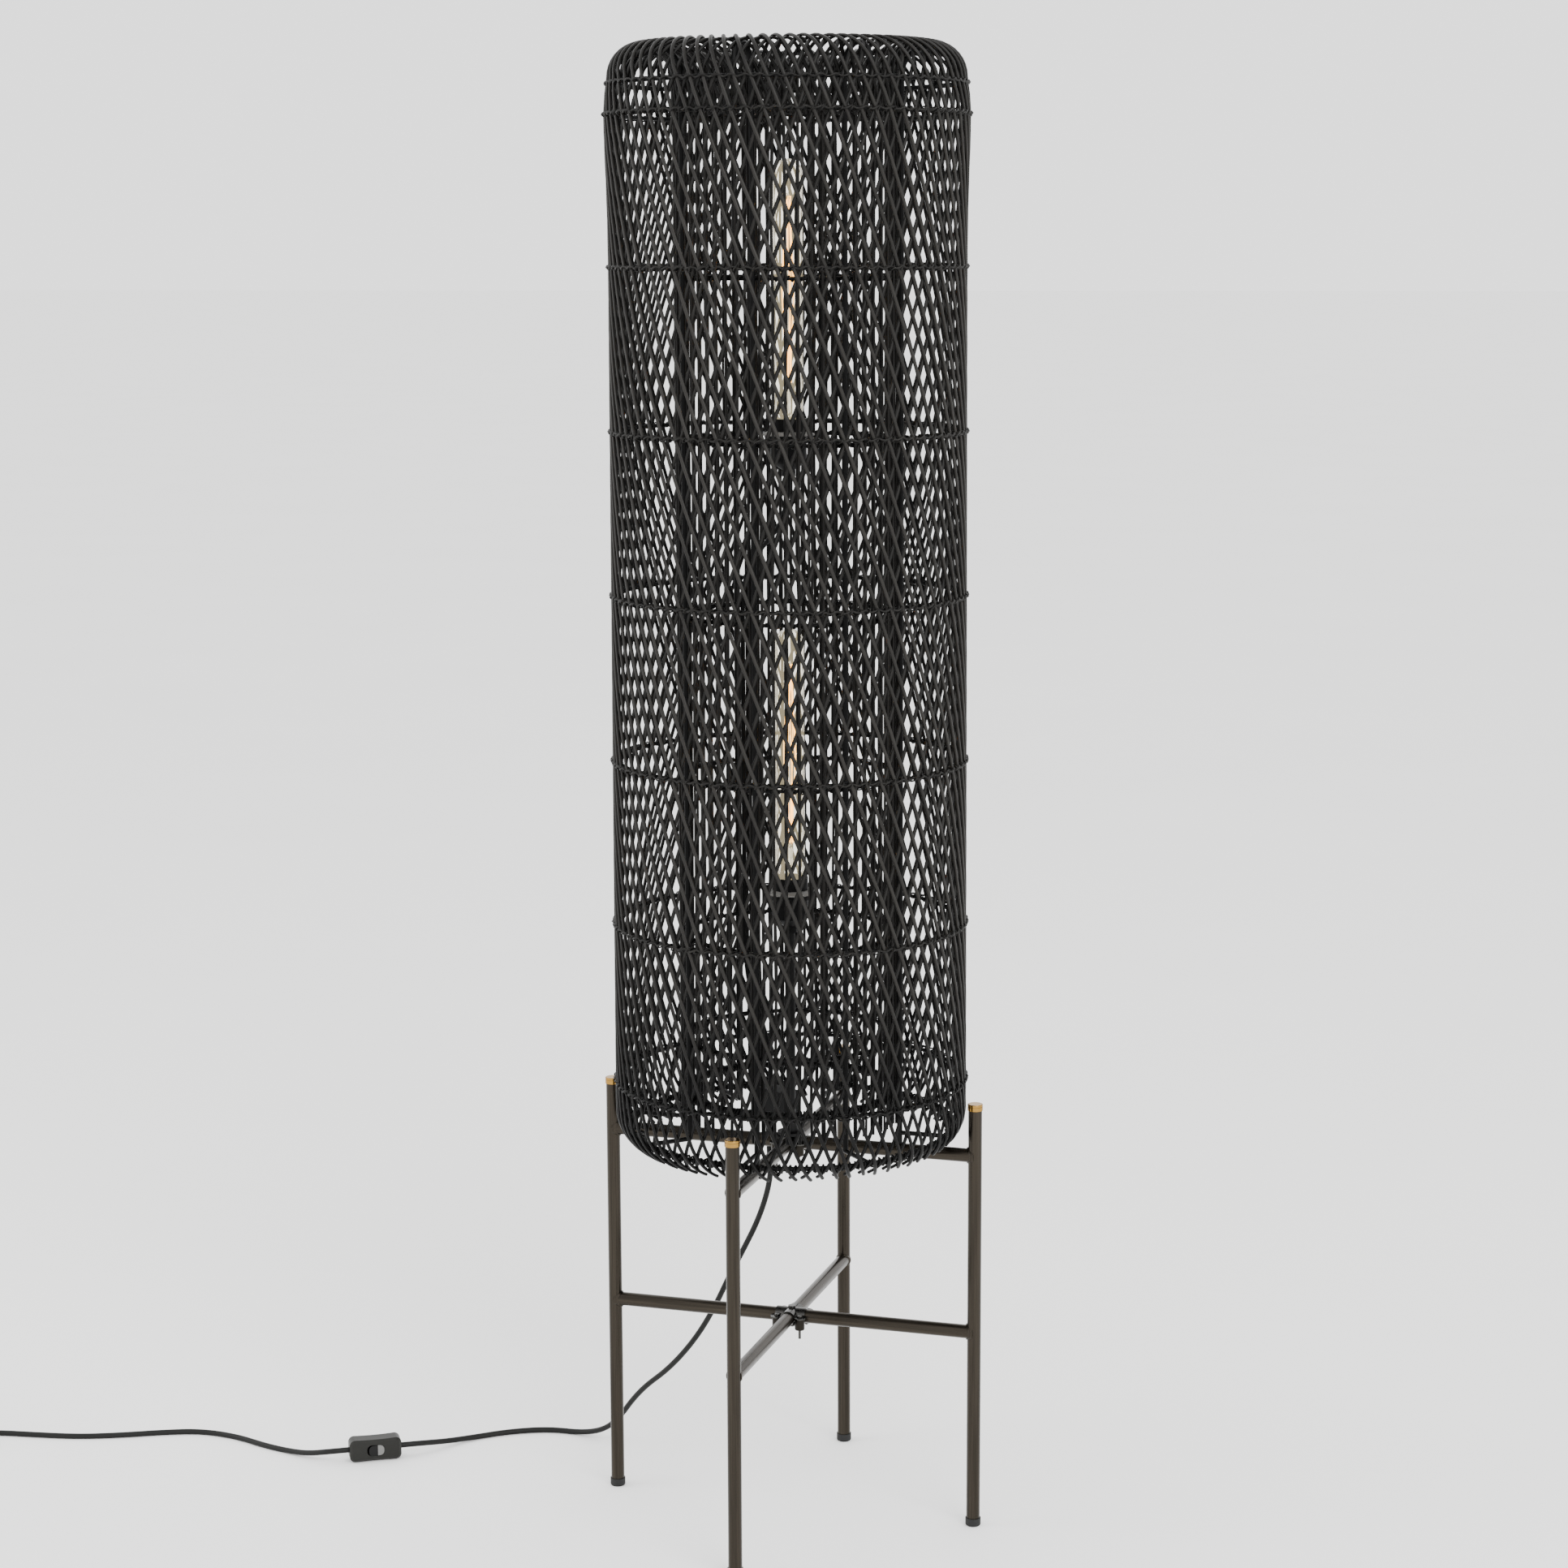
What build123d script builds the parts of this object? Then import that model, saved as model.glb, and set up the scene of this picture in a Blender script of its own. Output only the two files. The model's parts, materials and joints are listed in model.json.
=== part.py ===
# Rattan floor lamp: a tall double-walled woven shade on a four-legged tube stand,
# with two tall tube bulbs inside, and a mains lead with a hand switch.
# Millimetres, +Z up. The origin is on the floor, at the centre of the four legs.
from build123d import *
from math import acos, atan2, cos, degrees, hypot, pi, radians, sin, sqrt, tan
import os

os.makedirs("parts", exist_ok=True)

# Stand
leg_gap = 7.7
leg_diameter = 15.0
bar_diameter = 15.0
tube_wall = 1.2
lower_bar_height = 221.5
upper_bar_height = 420.5
leg_stub = 55.0
leg_top = upper_bar_height + leg_stub
mitre_gap = 4.0
weld_size = 1.4
foot_diameter = 17.0
foot_height = 9.0
foot_floor = 3.0
foot_round = 2.2
cap_wall = 0.8
cap_skirt = 4.0
cap_height = 7.0
cap_groove = 0.5
leg_sides = {"front": -90.0, "right": 0.0, "back": 90.0, "left": 180.0}

# Cross clamps, where the four half bars of one level meet
ear_height = 1.0
ear_radius = 7.5
plate_thickness = 1.5
plate_reach = 17.0
boss_diameter = 11.0
boss_length = 13.0
screw_diameter = 3.0
screw_head_diameter = 6.4
screw_head_height = 2.2
screw_tail = 2.0
lower_long_tail = 10.0
upper_long_tail = 26.0
centre_bolt_diameter = 4.0
centre_head_diameter = 8.0
washer_diameter = 18.0
washer_thickness = 1.5
nut_height = 3.5

# Shade
shade_top_radius = 188.5
shade_flare = 3.5
shade_bottom_radius = shade_top_radius + shade_flare
weave_thickness = 5.0
opening_radius = 115.5
hem_hang = 0.5
wall_height = 1146.0
hem_height = 72.0
hem_tuck = 31.0
hem_curl = 45.0
bar_notch = 0.5
inner_wall_rise = 56.0
hem_end = upper_bar_height - hem_hang
hem_start = hem_end + hem_height
hem_middle = shade_bottom_radius - hem_curl
hem_turn = hem_end + sqrt(hem_curl**2 - (hem_curl - hem_tuck) ** 2)
rim_level = hem_end + wall_height
inner_end = hem_end + inner_wall_rise
hoop_diameter = 4.0
outer_hoop_drops = [38.0, 195.0, 367.0, 541.0, 719.0, 896.0, 1070.0]
inner_hoop_drops = [34.0, 206.0, 376.0, 562.0, 736.0, 910.0, 1025.0, 1086.0]
outer_hoop_heights = [rim_level - drop for drop in outer_hoop_drops]
inner_hoop_heights = [rim_level - drop for drop in inner_hoop_drops]
frame_rod_diameter = 6.0
frame_rod_count = 8
ring_wire_radius = 2.5
ring_rise = 20.0
shoulder_drop = 6.0
shoulder_level = rim_level - shoulder_drop
ring_level = hem_end + ring_rise
touch = 0.05

# Lamp inside the shade
bulb_length = 300.0
bulb_radius = 16.0
glass_wall = 0.9
neck_radius = 12.6
shell_radius = 13.2
shell_height = 24.0
socket_clearance = 0.5
lower_socket_rise = 268.0
socket_spacing = 495.0
lower_socket_floor = hem_end + lower_socket_rise
upper_socket_floor = lower_socket_floor + socket_spacing
holder_radius = 19.5
holder_lip = 29.0
holder_wall_at_lip = 2.0
holder_floor = 6.0
holder_cap_height = 26.0
cap_neck_radius = 7.5
cap_neck_height = 7.0
holder_shoulder_radius = 22.0
shoulder_thickness = 4.0
ring_radius = 28.0
ring_thickness = 4.0
ring_below_lip = 13.5
ring_edge = 1.5
contact_radius = 4.5
contact_height = 1.5
insulator_height = 6.5
thread_pitch = 3.629
thread_depth = 0.7
thread_count = 4
neck_start = 12.0
swell_height = 18.0
stem_press_radius = 3.0
stem_press_height = 50.0
support_radius = 0.8
filament_radius = 0.7
filament_circle = 5.0
filament_count = 4
filament_margin = 34.0
stem_diameter = 10.0
stem_wall = 1.0
hub_radius = 8.5
hub_height = 12.0
flange_radius = 15.0
flange_thickness = 3.0
bridge_width = 12.0
bridge_thickness = 2.5

# Mains lead: where it leaves the lamp, and its parts
cord_diameter = 6.5
gland_x = -28.0
gland_y = 15.0
gland_length = 50.0
gland_tip_radius = 4.6
gland_neck_radius = 6.0
gland_neck_length = 15.0
box_gap = 5.5
box_height = 24.0
box_width = 22.0
box_wall = 2.0
lid_thickness = 2.5
lead_diameter = 5.0
lead_rises = [62.0, 95.0, 125.0, 165.0]
lead_drops = [165.0, 131.0, 108.0, 85.0, 53.0]
side_angle = 135.0
clipped_hoops = inner_hoop_heights[3:6]
clip_wall = 1.0
clip_height = 7.0
arc_share = 0.45

# Hand switch on the lead
switch_start_x = -481.0
switch_start_y = 10.0
switch_end_x = -532.3
switch_end_y = -21.1
switch_length = 60.0
switch_width = 27.0
switch_height = 20.0
switch_waist = 1.1
switch_corner = 6.5
switch_axis_depth = 10.0
switch_rest = 0.3
switch_edge = 2.4
rocker_length = 18.0
rocker_width = 12.0
rocker_gap = 0.4
rocker_end_gap = 1.0
rocker_tilt = 7.0
rocker_proud = 0.3
rocker_skirt = 3.5
rocker_draft = 1.5
rocker_well = 5.0
rocker_pivot_height = 15.5
rocker_corner = 5.0
rocker_pin_radius = 1.5
rocker_pin_clearance = 0.05
rocker_pin_length = 2.0

# Coil of the unseen length, and the plug
coil_inner_radius = 28.0
coil_gap = 0.6
coil_layer_turns = 2
coil_entry_x = -1017.0
coil_entry_y = -78.0
coil_heading = 197.0
coil_run_in = 46.0
tail_length = 30.0
plug_length = 38.0
plug_width = 34.0
relief_length = 26.0
pin_diameter = 4.0
pin_length = 19.0
pin_spacing = 19.0
plug_corner = 6.0
plug_edge = 2.0
relief_end_radius = 7.5

leg_radius = leg_diameter / 2
bar_radius = bar_diameter / 2
boss_radius = boss_diameter / 2
ear_offset = bar_radius + boss_radius
screw_radius = screw_diameter / 2
hoop_radius = hoop_diameter / 2
rod_radius = frame_rod_diameter / 2
cord_radius = cord_diameter / 2
lead_radius = lead_diameter / 2
stem_radius = stem_diameter / 2
crown_height = bar_radius + plate_thickness
cap_radius = leg_radius + cap_wall
leg_circle_radius = shade_bottom_radius + leg_gap + cap_radius


def save(builder, node):
    """Name a finished piece and write it to its own STEP file."""
    builder.part.label = node
    export_step(builder.part, f"parts/{node}.step")


def upright(angle, radius, height):
    """A level plane at a polar place, with its X axis pointing outwards."""
    out = Vector(cos(radians(angle)), sin(radians(angle)), 0)
    return Plane(origin=(radius * out.X, radius * out.Y, height), x_dir=out, z_dir=(0, 0, 1))


def outward(angle, distance, height):
    """A plane that faces outwards along a bar, at a distance from the centre."""
    out = Vector(cos(radians(angle)), sin(radians(angle)), 0)
    return Plane(origin=(distance * out.X, distance * out.Y, height), x_dir=(0, 0, 1), z_dir=out)


# Four legs: plain tubes that stand in their feet
for side, angle in leg_sides.items():
    with BuildPart() as leg:
        with BuildSketch(upright(angle, leg_circle_radius, foot_floor)):
            Circle(leg_radius)
            Circle(leg_radius - tube_wall, mode=Mode.SUBTRACT)
        extrude(amount=leg_top - foot_floor)
    save(leg, f"leg_{side}")


# Eight half bars: each is welded to its leg, and mitred to a point where the four meet
def half_bar(angle, height):
    with BuildPart() as bar:
        with BuildSketch(outward(angle, 0, height)):
            Circle(bar_radius)
            Circle(bar_radius - tube_wall, mode=Mode.SUBTRACT)
        extrude(amount=leg_circle_radius)
        reach = bar_radius + 1
        with BuildSketch(upright(angle, 0, height - reach)):
            Polygon(
                (-1, reach),
                (mitre_gap + reach, reach),
                (mitre_gap, 0),
                (mitre_gap + reach, -reach),
                (-1, -reach),
                align=None,
            )
        extrude(amount=2 * reach, mode=Mode.SUBTRACT)
        with BuildSketch(upright(angle, leg_circle_radius, height - reach)):
            Circle(leg_radius)
        extrude(amount=2 * reach, mode=Mode.SUBTRACT)
    return bar


for side, angle in leg_sides.items():
    save(half_bar(angle, lower_bar_height), f"lower_bar_{side}")
    save(half_bar(angle, upper_bar_height), f"upper_bar_{side}")

# Weld beads: a collar of metal round each joint of bar and leg
with BuildPart() as welds:
    for height in (lower_bar_height, upper_bar_height):
        for angle in leg_sides.values():
            with BuildPart(mode=Mode.PRIVATE) as bead:
                with BuildSketch(outward(angle, leg_circle_radius - 2 * leg_radius, height)):
                    Circle(bar_radius + weld_size)
                    Circle(bar_radius, mode=Mode.SUBTRACT)
                extrude(amount=2 * leg_radius)
                with BuildSketch(upright(angle, leg_circle_radius, height - 2 * bar_radius)):
                    Circle(leg_radius + weld_size)
                extrude(amount=4 * bar_radius, mode=Mode.INTERSECT)
                with BuildSketch(upright(angle, leg_circle_radius, height - 2 * bar_radius)):
                    Circle(leg_radius)
                extrude(amount=4 * bar_radius, mode=Mode.SUBTRACT)
            add(bead.part)
save(welds, "weld_beads")

# Brass caps: a thin sleeve over the top of each leg, with a groove under its crown
with BuildPart() as caps:
    for angle in leg_sides.values():
        with BuildSketch(upright(angle, leg_circle_radius, leg_top - cap_skirt)):
            Circle(cap_radius)
        extrude(amount=cap_height)
    fillet(caps.faces().sort_by(Axis.Z)[-4:].edges(), cap_wall)
    for angle in leg_sides.values():
        with BuildSketch(upright(angle, leg_circle_radius, leg_top - cap_skirt)):
            Circle(leg_radius)
        extrude(amount=cap_skirt, mode=Mode.SUBTRACT)
        with BuildSketch(upright(angle, leg_circle_radius, leg_top)):
            Circle(cap_radius)
            Circle(cap_radius - cap_groove, mode=Mode.SUBTRACT)
        extrude(amount=cap_groove * 2, mode=Mode.SUBTRACT)
save(caps, "leg_caps")

# Rubber feet: cups that the legs stand in
with BuildPart() as feet:
    for angle in leg_sides.values():
        with BuildSketch(upright(angle, leg_circle_radius, 0)):
            Circle(foot_diameter / 2)
        extrude(amount=foot_height)
    fillet(feet.faces().sort_by(Axis.Z)[:4].edges(), foot_round)
    for angle in leg_sides.values():
        with BuildSketch(upright(angle, leg_circle_radius, foot_floor)):
            Circle(leg_radius)
        extrude(amount=foot_height - foot_floor, mode=Mode.SUBTRACT)
save(feet, "feet")


# Cross clamp: a pressed plate whose crown lies over the bars, with four ears lower down
def clamp_plate(height):
    ear_level = height + ear_height
    with BuildPart() as plate:
        with BuildSketch(Plane.XY.offset(ear_level)):
            Rectangle(2 * ear_offset, 2 * ear_offset)
            with GridLocations(2 * ear_offset, 2 * ear_offset, 2, 2):
                Circle(ear_radius)
        extrude(amount=plate_thickness)
        with BuildSketch(Plane.YZ.offset(-plate_reach)):
            with Locations((0, height)):
                Circle(crown_height)
        extrude(amount=2 * plate_reach)
        with BuildSketch(Plane.XZ.offset(-plate_reach)):
            with Locations((0, height)):
                Circle(crown_height)
        extrude(amount=2 * plate_reach)
        split(bisect_by=Plane.XY.offset(ear_level), keep=Keep.TOP)
        with BuildSketch(Plane.YZ.offset(-2 * plate_reach)):
            with Locations((0, height)):
                Circle(bar_radius)
        extrude(amount=4 * plate_reach, mode=Mode.SUBTRACT)
        with BuildSketch(Plane.XZ.offset(-2 * plate_reach)):
            with Locations((0, height)):
                Circle(bar_radius)
        extrude(amount=4 * plate_reach, mode=Mode.SUBTRACT)
        with BuildSketch(Plane.XY.offset(ear_level)):
            with GridLocations(2 * ear_offset, 2 * ear_offset, 2, 2):
                Circle(screw_radius)
            Circle(centre_bolt_diameter / 2)
        extrude(amount=2 * crown_height, mode=Mode.SUBTRACT)
    return plate


# Bosses: threaded sleeves in the corners between the bars, under the plate's ears
def clamp_bosses(height):
    with BuildPart() as bosses:
        with BuildSketch(Plane.XY.offset(height + ear_height - boss_length)):
            with GridLocations(2 * ear_offset, 2 * ear_offset, 2, 2):
                Circle(boss_radius)
        extrude(amount=boss_length)
        fillet(bosses.faces().sort_by(Axis.Z)[:4].edges(), screw_radius)
        with BuildSketch(Plane.XY.offset(height + ear_height - boss_length)):
            with GridLocations(2 * ear_offset, 2 * ear_offset, 2, 2):
                Circle(screw_radius)
        extrude(amount=boss_length, mode=Mode.SUBTRACT)
    return bosses


def ear_screw(x, y, height, tail):
    """A round-headed screw through one ear and its boss."""
    seat = height + ear_height + plate_thickness
    shank = plate_thickness + boss_length + tail
    with BuildPart() as screw:
        with BuildSketch(Plane.XY.offset(seat)):
            with Locations((x, y)):
                Circle(screw_head_diameter / 2)
        extrude(amount=screw_head_height)
        fillet(screw.faces().sort_by(Axis.Z)[-1].edges(), screw_head_height / 2)
        with BuildSketch(Plane.XY.offset(seat)):
            with Locations((x, y)):
                Circle(screw_radius)
        extrude(amount=-shank)
    return screw.part


def nut_and_washer(height):
    """The washer and nut that pull the bars up against the plate."""
    washer_top = height - bar_radius
    with BuildPart() as nut:
        with BuildSketch(Plane.XY.offset(washer_top)):
            Circle(washer_diameter / 2)
            Circle(centre_bolt_diameter / 2, mode=Mode.SUBTRACT)
        extrude(amount=-washer_thickness)
        with BuildSketch(Plane.XY.offset(washer_top - washer_thickness)):
            RegularPolygon(centre_head_diameter / 2, 6)
            Circle(centre_bolt_diameter / 2, mode=Mode.SUBTRACT)
        extrude(amount=-nut_height)
    return nut.part


def centre_bolt(height, head):
    """The bolt between the bars' points, with or without a head on the plate's crown."""
    tip = height - bar_radius - washer_thickness - nut_height
    with BuildPart() as bolt:
        with BuildSketch(Plane.XY.offset(height + crown_height)):
            Circle(centre_bolt_diameter / 2)
        extrude(amount=tip - height - crown_height)
        if head:
            with BuildSketch(Plane.XY.offset(height + crown_height)):
                Circle(centre_head_diameter / 2)
            extrude(amount=screw_head_height)
    return bolt.part


def clamp_screws(height, long_corner, long_tail, head):
    with BuildPart() as screws:
        for x in (-ear_offset, ear_offset):
            for y in (-ear_offset, ear_offset):
                is_long = (x * long_corner[0] > 0) and (y * long_corner[1] > 0)
                add(ear_screw(x, y, height, long_tail if is_long else screw_tail))
        add(nut_and_washer(height))
        if head:
            add(centre_bolt(height, head))
    return screws


save(clamp_plate(lower_bar_height), "lower_clamp_plate")
save(clamp_bosses(lower_bar_height), "lower_clamp_bosses")
save(clamp_screws(lower_bar_height, (1, -1), lower_long_tail, True), "lower_clamp_screws")
save(clamp_plate(upper_bar_height), "upper_clamp_plate")
save(clamp_bosses(upper_bar_height), "upper_clamp_bosses")
save(clamp_screws(upper_bar_height, (-1, -1), upper_long_tail, False), "upper_clamp_screws")


# Shade: woven walls, as shells of revolution of the weave's thickness
def wall_radius(height):
    """Outside radius of the outer wall, which widens a little towards the floor."""
    share = (rim_level - height) / (rim_level - hem_start)
    return shade_top_radius + share * (shade_bottom_radius - shade_top_radius)


rim_middle = (shade_top_radius + opening_radius) / 2
rim_radius = (shade_top_radius - opening_radius) / 2

with BuildPart() as outer_weave:
    with BuildSketch(Plane.XZ):
        Polygon(
            (shade_top_radius, rim_level),
            (shade_top_radius - weave_thickness, rim_level),
            (shade_bottom_radius - weave_thickness, hem_start),
            (shade_bottom_radius, hem_start),
            align=None,
        )
    revolve(axis=Axis.Z)
save(outer_weave, "shade_outer_weave")

with BuildPart() as rim_weave:
    with BuildSketch(Plane.XZ):
        with Locations((rim_middle, rim_level)):
            Circle(rim_radius)
            Circle(rim_radius - weave_thickness, mode=Mode.SUBTRACT)
        with Locations((rim_middle, rim_level)):
            Rectangle(4 * rim_radius, 2 * rim_radius, align=(Align.CENTER, Align.MAX), mode=Mode.SUBTRACT)
    revolve(axis=Axis.Z)
save(rim_weave, "shade_rim_weave")

with BuildPart() as inner_weave:
    with BuildSketch(Plane.XY.offset(inner_end)):
        Circle(opening_radius + weave_thickness)
        Circle(opening_radius, mode=Mode.SUBTRACT)
    extrude(amount=rim_level - inner_end)
save(inner_weave, "shade_inner_weave")

# Hem: below the last hoop the wall rolls inwards, and its edge hangs beside the upper bars
hem_sweep = -degrees(acos((hem_curl - hem_tuck) / hem_curl))
with BuildPart() as hem_weave:
    with BuildSketch(Plane.XZ):
        with BuildLine():
            outside = CenterArc((hem_middle, hem_turn), hem_curl, 0, hem_sweep)
            inside = CenterArc((hem_middle, hem_turn), hem_curl - weave_thickness, 0, hem_sweep)
            Line(outside @ 1, inside @ 1)
            Polyline(
                outside @ 0,
                (shade_bottom_radius, hem_start),
                (shade_bottom_radius - weave_thickness, hem_start),
                inside @ 0,
            )
        make_face()
    revolve(axis=Axis.Z)
    for angle in leg_sides.values():
        with BuildSketch(outward(angle, 0, upper_bar_height)):
            Circle(bar_radius + bar_notch)
        extrude(amount=leg_circle_radius, mode=Mode.SUBTRACT)
save(hem_weave, "shade_hem_weave")


def hoop(radius, height, wire_radius):
    """One closed wire hoop round the lamp's axis."""
    with BuildPart() as ring:
        with BuildSketch(Plane.XZ):
            with Locations((radius, height)):
                Circle(wire_radius)
        revolve(axis=Axis.Z)
    return ring.part


def hoop_radius_inside_wall(height):
    return wall_radius(height) - weave_thickness - hoop_radius - touch


with BuildPart() as outer_hoops:
    for height in outer_hoop_heights:
        add(hoop(hoop_radius_inside_wall(height), height, hoop_radius))
save(outer_hoops, "outer_hoops")

inner_hoop_radius = opening_radius - hoop_radius - touch
with BuildPart() as inner_hoops:
    for height in inner_hoop_heights:
        add(hoop(inner_hoop_radius, height, hoop_radius))
save(inner_hoops, "inner_hoops")

# Welded wire frame in the hollow between the walls. Its rods run up beside the inner
# wall, over inside the rim and down to the shoulder ring. Four of them stand on the
# upper bars, and all have a spoke out to the ring that the hem is woven round.
rod_circle_radius = opening_radius + weave_thickness + rod_radius + touch
rod_bend = rim_middle - rod_circle_radius
ring_reach = hem_curl - weave_thickness - ring_wire_radius - touch
bottom_ring_radius = hem_middle + sqrt(ring_reach**2 - (hem_turn - ring_level) ** 2)
rod_angles = [360.0 / frame_rod_count * index for index in range(frame_rod_count)]
with BuildPart() as frame:
    for angle in rod_angles:
        rod_foot = upper_bar_height + bar_radius if angle % 90 == 0 else ring_level
        out = Vector(cos(radians(angle)), sin(radians(angle)), 0)
        with BuildLine(Plane(origin=(0, 0, 0), x_dir=out, z_dir=out.cross(Vector(0, 0, 1)))) as rod:
            up = Line((rod_circle_radius, rod_foot), (rod_circle_radius, rim_level))
            over = ThreePointArc(
                up @ 1,
                (rim_middle, rim_level + rod_bend),
                (rim_middle + rod_bend, rim_level),
            )
            Line(over @ 1, (rim_middle + rod_bend, shoulder_level))
        with BuildSketch(upright(angle, rod_circle_radius, rod_foot)):
            Circle(rod_radius)
        sweep(path=rod.wire())
        with BuildSketch(outward(angle, rod_circle_radius, ring_level)):
            Circle(ring_wire_radius)
        extrude(amount=bottom_ring_radius - rod_circle_radius)
    add(hoop(bottom_ring_radius, ring_level, ring_wire_radius))
    add(hoop(rim_middle + rod_bend, shoulder_level, ring_wire_radius))
save(frame, "shade_frame")


# Lampholders: body with its socket, cap and shade ring, all turned about the lamp's axis
def turned(outline):
    """A solid of revolution about the lamp's axis, from its half outline of (radius, height)."""
    with BuildPart() as piece:
        with BuildSketch(Plane.XZ):
            Polygon(*outline, align=None)
        revolve(axis=Axis.Z)
    return piece


def holder_body(floor):
    top = floor + holder_lip
    bore = shell_radius + socket_clearance
    shoulder = top - ring_below_lip - ring_thickness - bridge_thickness
    return turned([
        (0, floor - holder_floor),
        (holder_radius, floor - holder_floor),
        (holder_radius, shoulder - shoulder_thickness),
        (holder_shoulder_radius, shoulder - shoulder_thickness),
        (holder_shoulder_radius, shoulder),
        (holder_radius, shoulder),
        (holder_radius, top),
        (holder_radius - holder_wall_at_lip, top),
        (bore, top - holder_radius + holder_wall_at_lip + bore),
        (bore, floor),
        (0, floor),
    ])


def holder_cap(floor, bore_radius):
    top = floor - holder_floor
    bottom = top - holder_cap_height
    wall = holder_wall_at_lip
    return turned([
        (bore_radius, bottom),
        (cap_neck_radius, bottom),
        (cap_neck_radius, bottom + cap_neck_height),
        (holder_radius - wall, bottom + 2 * cap_neck_height),
        (holder_radius, bottom + 2 * cap_neck_height + wall),
        (holder_radius, top),
        (holder_radius - wall, top),
        (holder_radius - wall, bottom + 2 * cap_neck_height + 2 * wall),
        (bore_radius, bottom + cap_neck_height + wall),
    ])


def shade_ring(floor):
    seat = floor + holder_lip - ring_below_lip - ring_thickness
    return turned([
        (holder_radius, seat),
        (ring_radius, seat),
        (ring_radius, seat + ring_edge),
        (holder_radius + 2 * ring_edge, seat + ring_thickness),
        (holder_radius, seat + ring_thickness),
    ])


cap_bore = {"lower": stem_radius, "upper": lead_radius}
socket_floor = {"lower": lower_socket_floor, "upper": upper_socket_floor}
for level, floor in socket_floor.items():
    save(holder_body(floor), f"{level}_holder_body")
    save(holder_cap(floor, cap_bore[level]), f"{level}_holder_cap")
    save(shade_ring(floor), f"{level}_holder_ring")

# Bridge: a flat strip with an eye, whose ends lie on an inner hoop. It carries the upper
# holder, between the holder's shoulder and its ring.
bridge_level = upper_socket_floor + holder_lip - ring_below_lip - ring_thickness - bridge_thickness
with BuildPart() as bridge:
    with BuildSketch(upright(side_angle, 0, bridge_level)):
        Circle(holder_radius + bridge_width / 2)
        Rectangle(2 * inner_hoop_radius, bridge_width)
        Circle(holder_radius, mode=Mode.SUBTRACT)
    extrude(amount=bridge_thickness)
save(bridge, "holder_bridge")


# Bulbs: centre contact, screw base, glass tube, and the filament on its glass stem
def bulb_contact(floor):
    return turned([
        (0, floor),
        (contact_radius, floor),
        (contact_radius, floor + contact_height),
        (0, floor + contact_height),
    ])


def bulb_base(floor):
    seat = floor + contact_height
    first_thread = floor + insulator_height
    threads = []
    for turn in range(thread_count):
        root = first_thread + turn * thread_pitch
        threads.append((shell_radius - thread_depth, root))
        threads.append((shell_radius, root + thread_pitch / 2))
    return turned([
        (0, seat),
        (contact_radius, seat),
        (shell_radius - 2 * thread_depth, first_thread - thread_depth),
        *threads,
        (shell_radius - thread_depth, first_thread + thread_count * thread_pitch),
        (shell_radius - thread_depth, floor + shell_height),
        (neck_radius - glass_wall, floor + shell_height),
        (neck_radius - glass_wall, floor + neck_start),
        (0, floor + neck_start),
    ])


def glass_outline(floor, radius, neck):
    """Half outline of the tube's outside or inside: neck, swell, straight side and dome."""
    swell = floor + shell_height + swell_height
    Line((neck, floor + neck_start), (neck, floor + shell_height))
    Bezier(
        (neck, floor + shell_height),
        (neck, floor + shell_height + swell_height / 2),
        (radius, floor + shell_height + swell_height / 2),
        (radius, swell),
    )
    dome = floor + bulb_length - bulb_radius
    Line((radius, swell), (radius, dome))
    ThreePointArc(
        (radius, dome),
        (radius * cos(pi / 4), dome + radius * sin(pi / 4)),
        (0, dome + radius),
    )


def bulb_glass(floor):
    outer_neck = neck_radius - glass_wall
    with BuildPart() as glass:
        with BuildSketch(Plane.XZ):
            with BuildLine():
                glass_outline(floor, bulb_radius, outer_neck)
                glass_outline(floor, bulb_radius - glass_wall, outer_neck - glass_wall)
                Line((outer_neck, floor + neck_start), (outer_neck - glass_wall, floor + neck_start))
                Line((0, floor + bulb_length), (0, floor + bulb_length - glass_wall))
            make_face()
        revolve(axis=Axis.Z)
    return glass


def bulb_filament(floor):
    foot = floor + neck_start
    stem_top = foot + stem_press_height
    wire_top = floor + bulb_length - filament_margin
    with BuildPart() as filament:
        with BuildSketch(Plane.XZ):
            Polygon(
                (0, foot),
                (neck_radius - 2 * glass_wall, foot),
                (neck_radius - 2 * glass_wall, foot + glass_wall),
                (stem_press_radius, foot + neck_radius),
                (stem_press_radius, stem_top),
                (support_radius, stem_top),
                (support_radius, wire_top),
                (0, wire_top),
                align=None,
            )
        revolve(axis=Axis.Z)
        with BuildSketch(Plane.XY.offset(stem_top - filament_radius)):
            with PolarLocations(filament_circle, filament_count):
                Circle(filament_radius)
        extrude(amount=wire_top - stem_top + filament_radius)
        for level in (stem_top - filament_radius, wire_top - 2 * filament_radius):
            with BuildSketch(Plane.XY.offset(level)):
                Circle(filament_circle + 2 * filament_radius)
            extrude(amount=2 * filament_radius)
    return filament


for level, floor in socket_floor.items():
    save(bulb_contact(floor), f"{level}_bulb_contact")
    save(bulb_base(floor), f"{level}_bulb_base")
    save(bulb_glass(floor), f"{level}_bulb_glass")
    save(bulb_filament(floor), f"{level}_bulb_filament")

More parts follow.
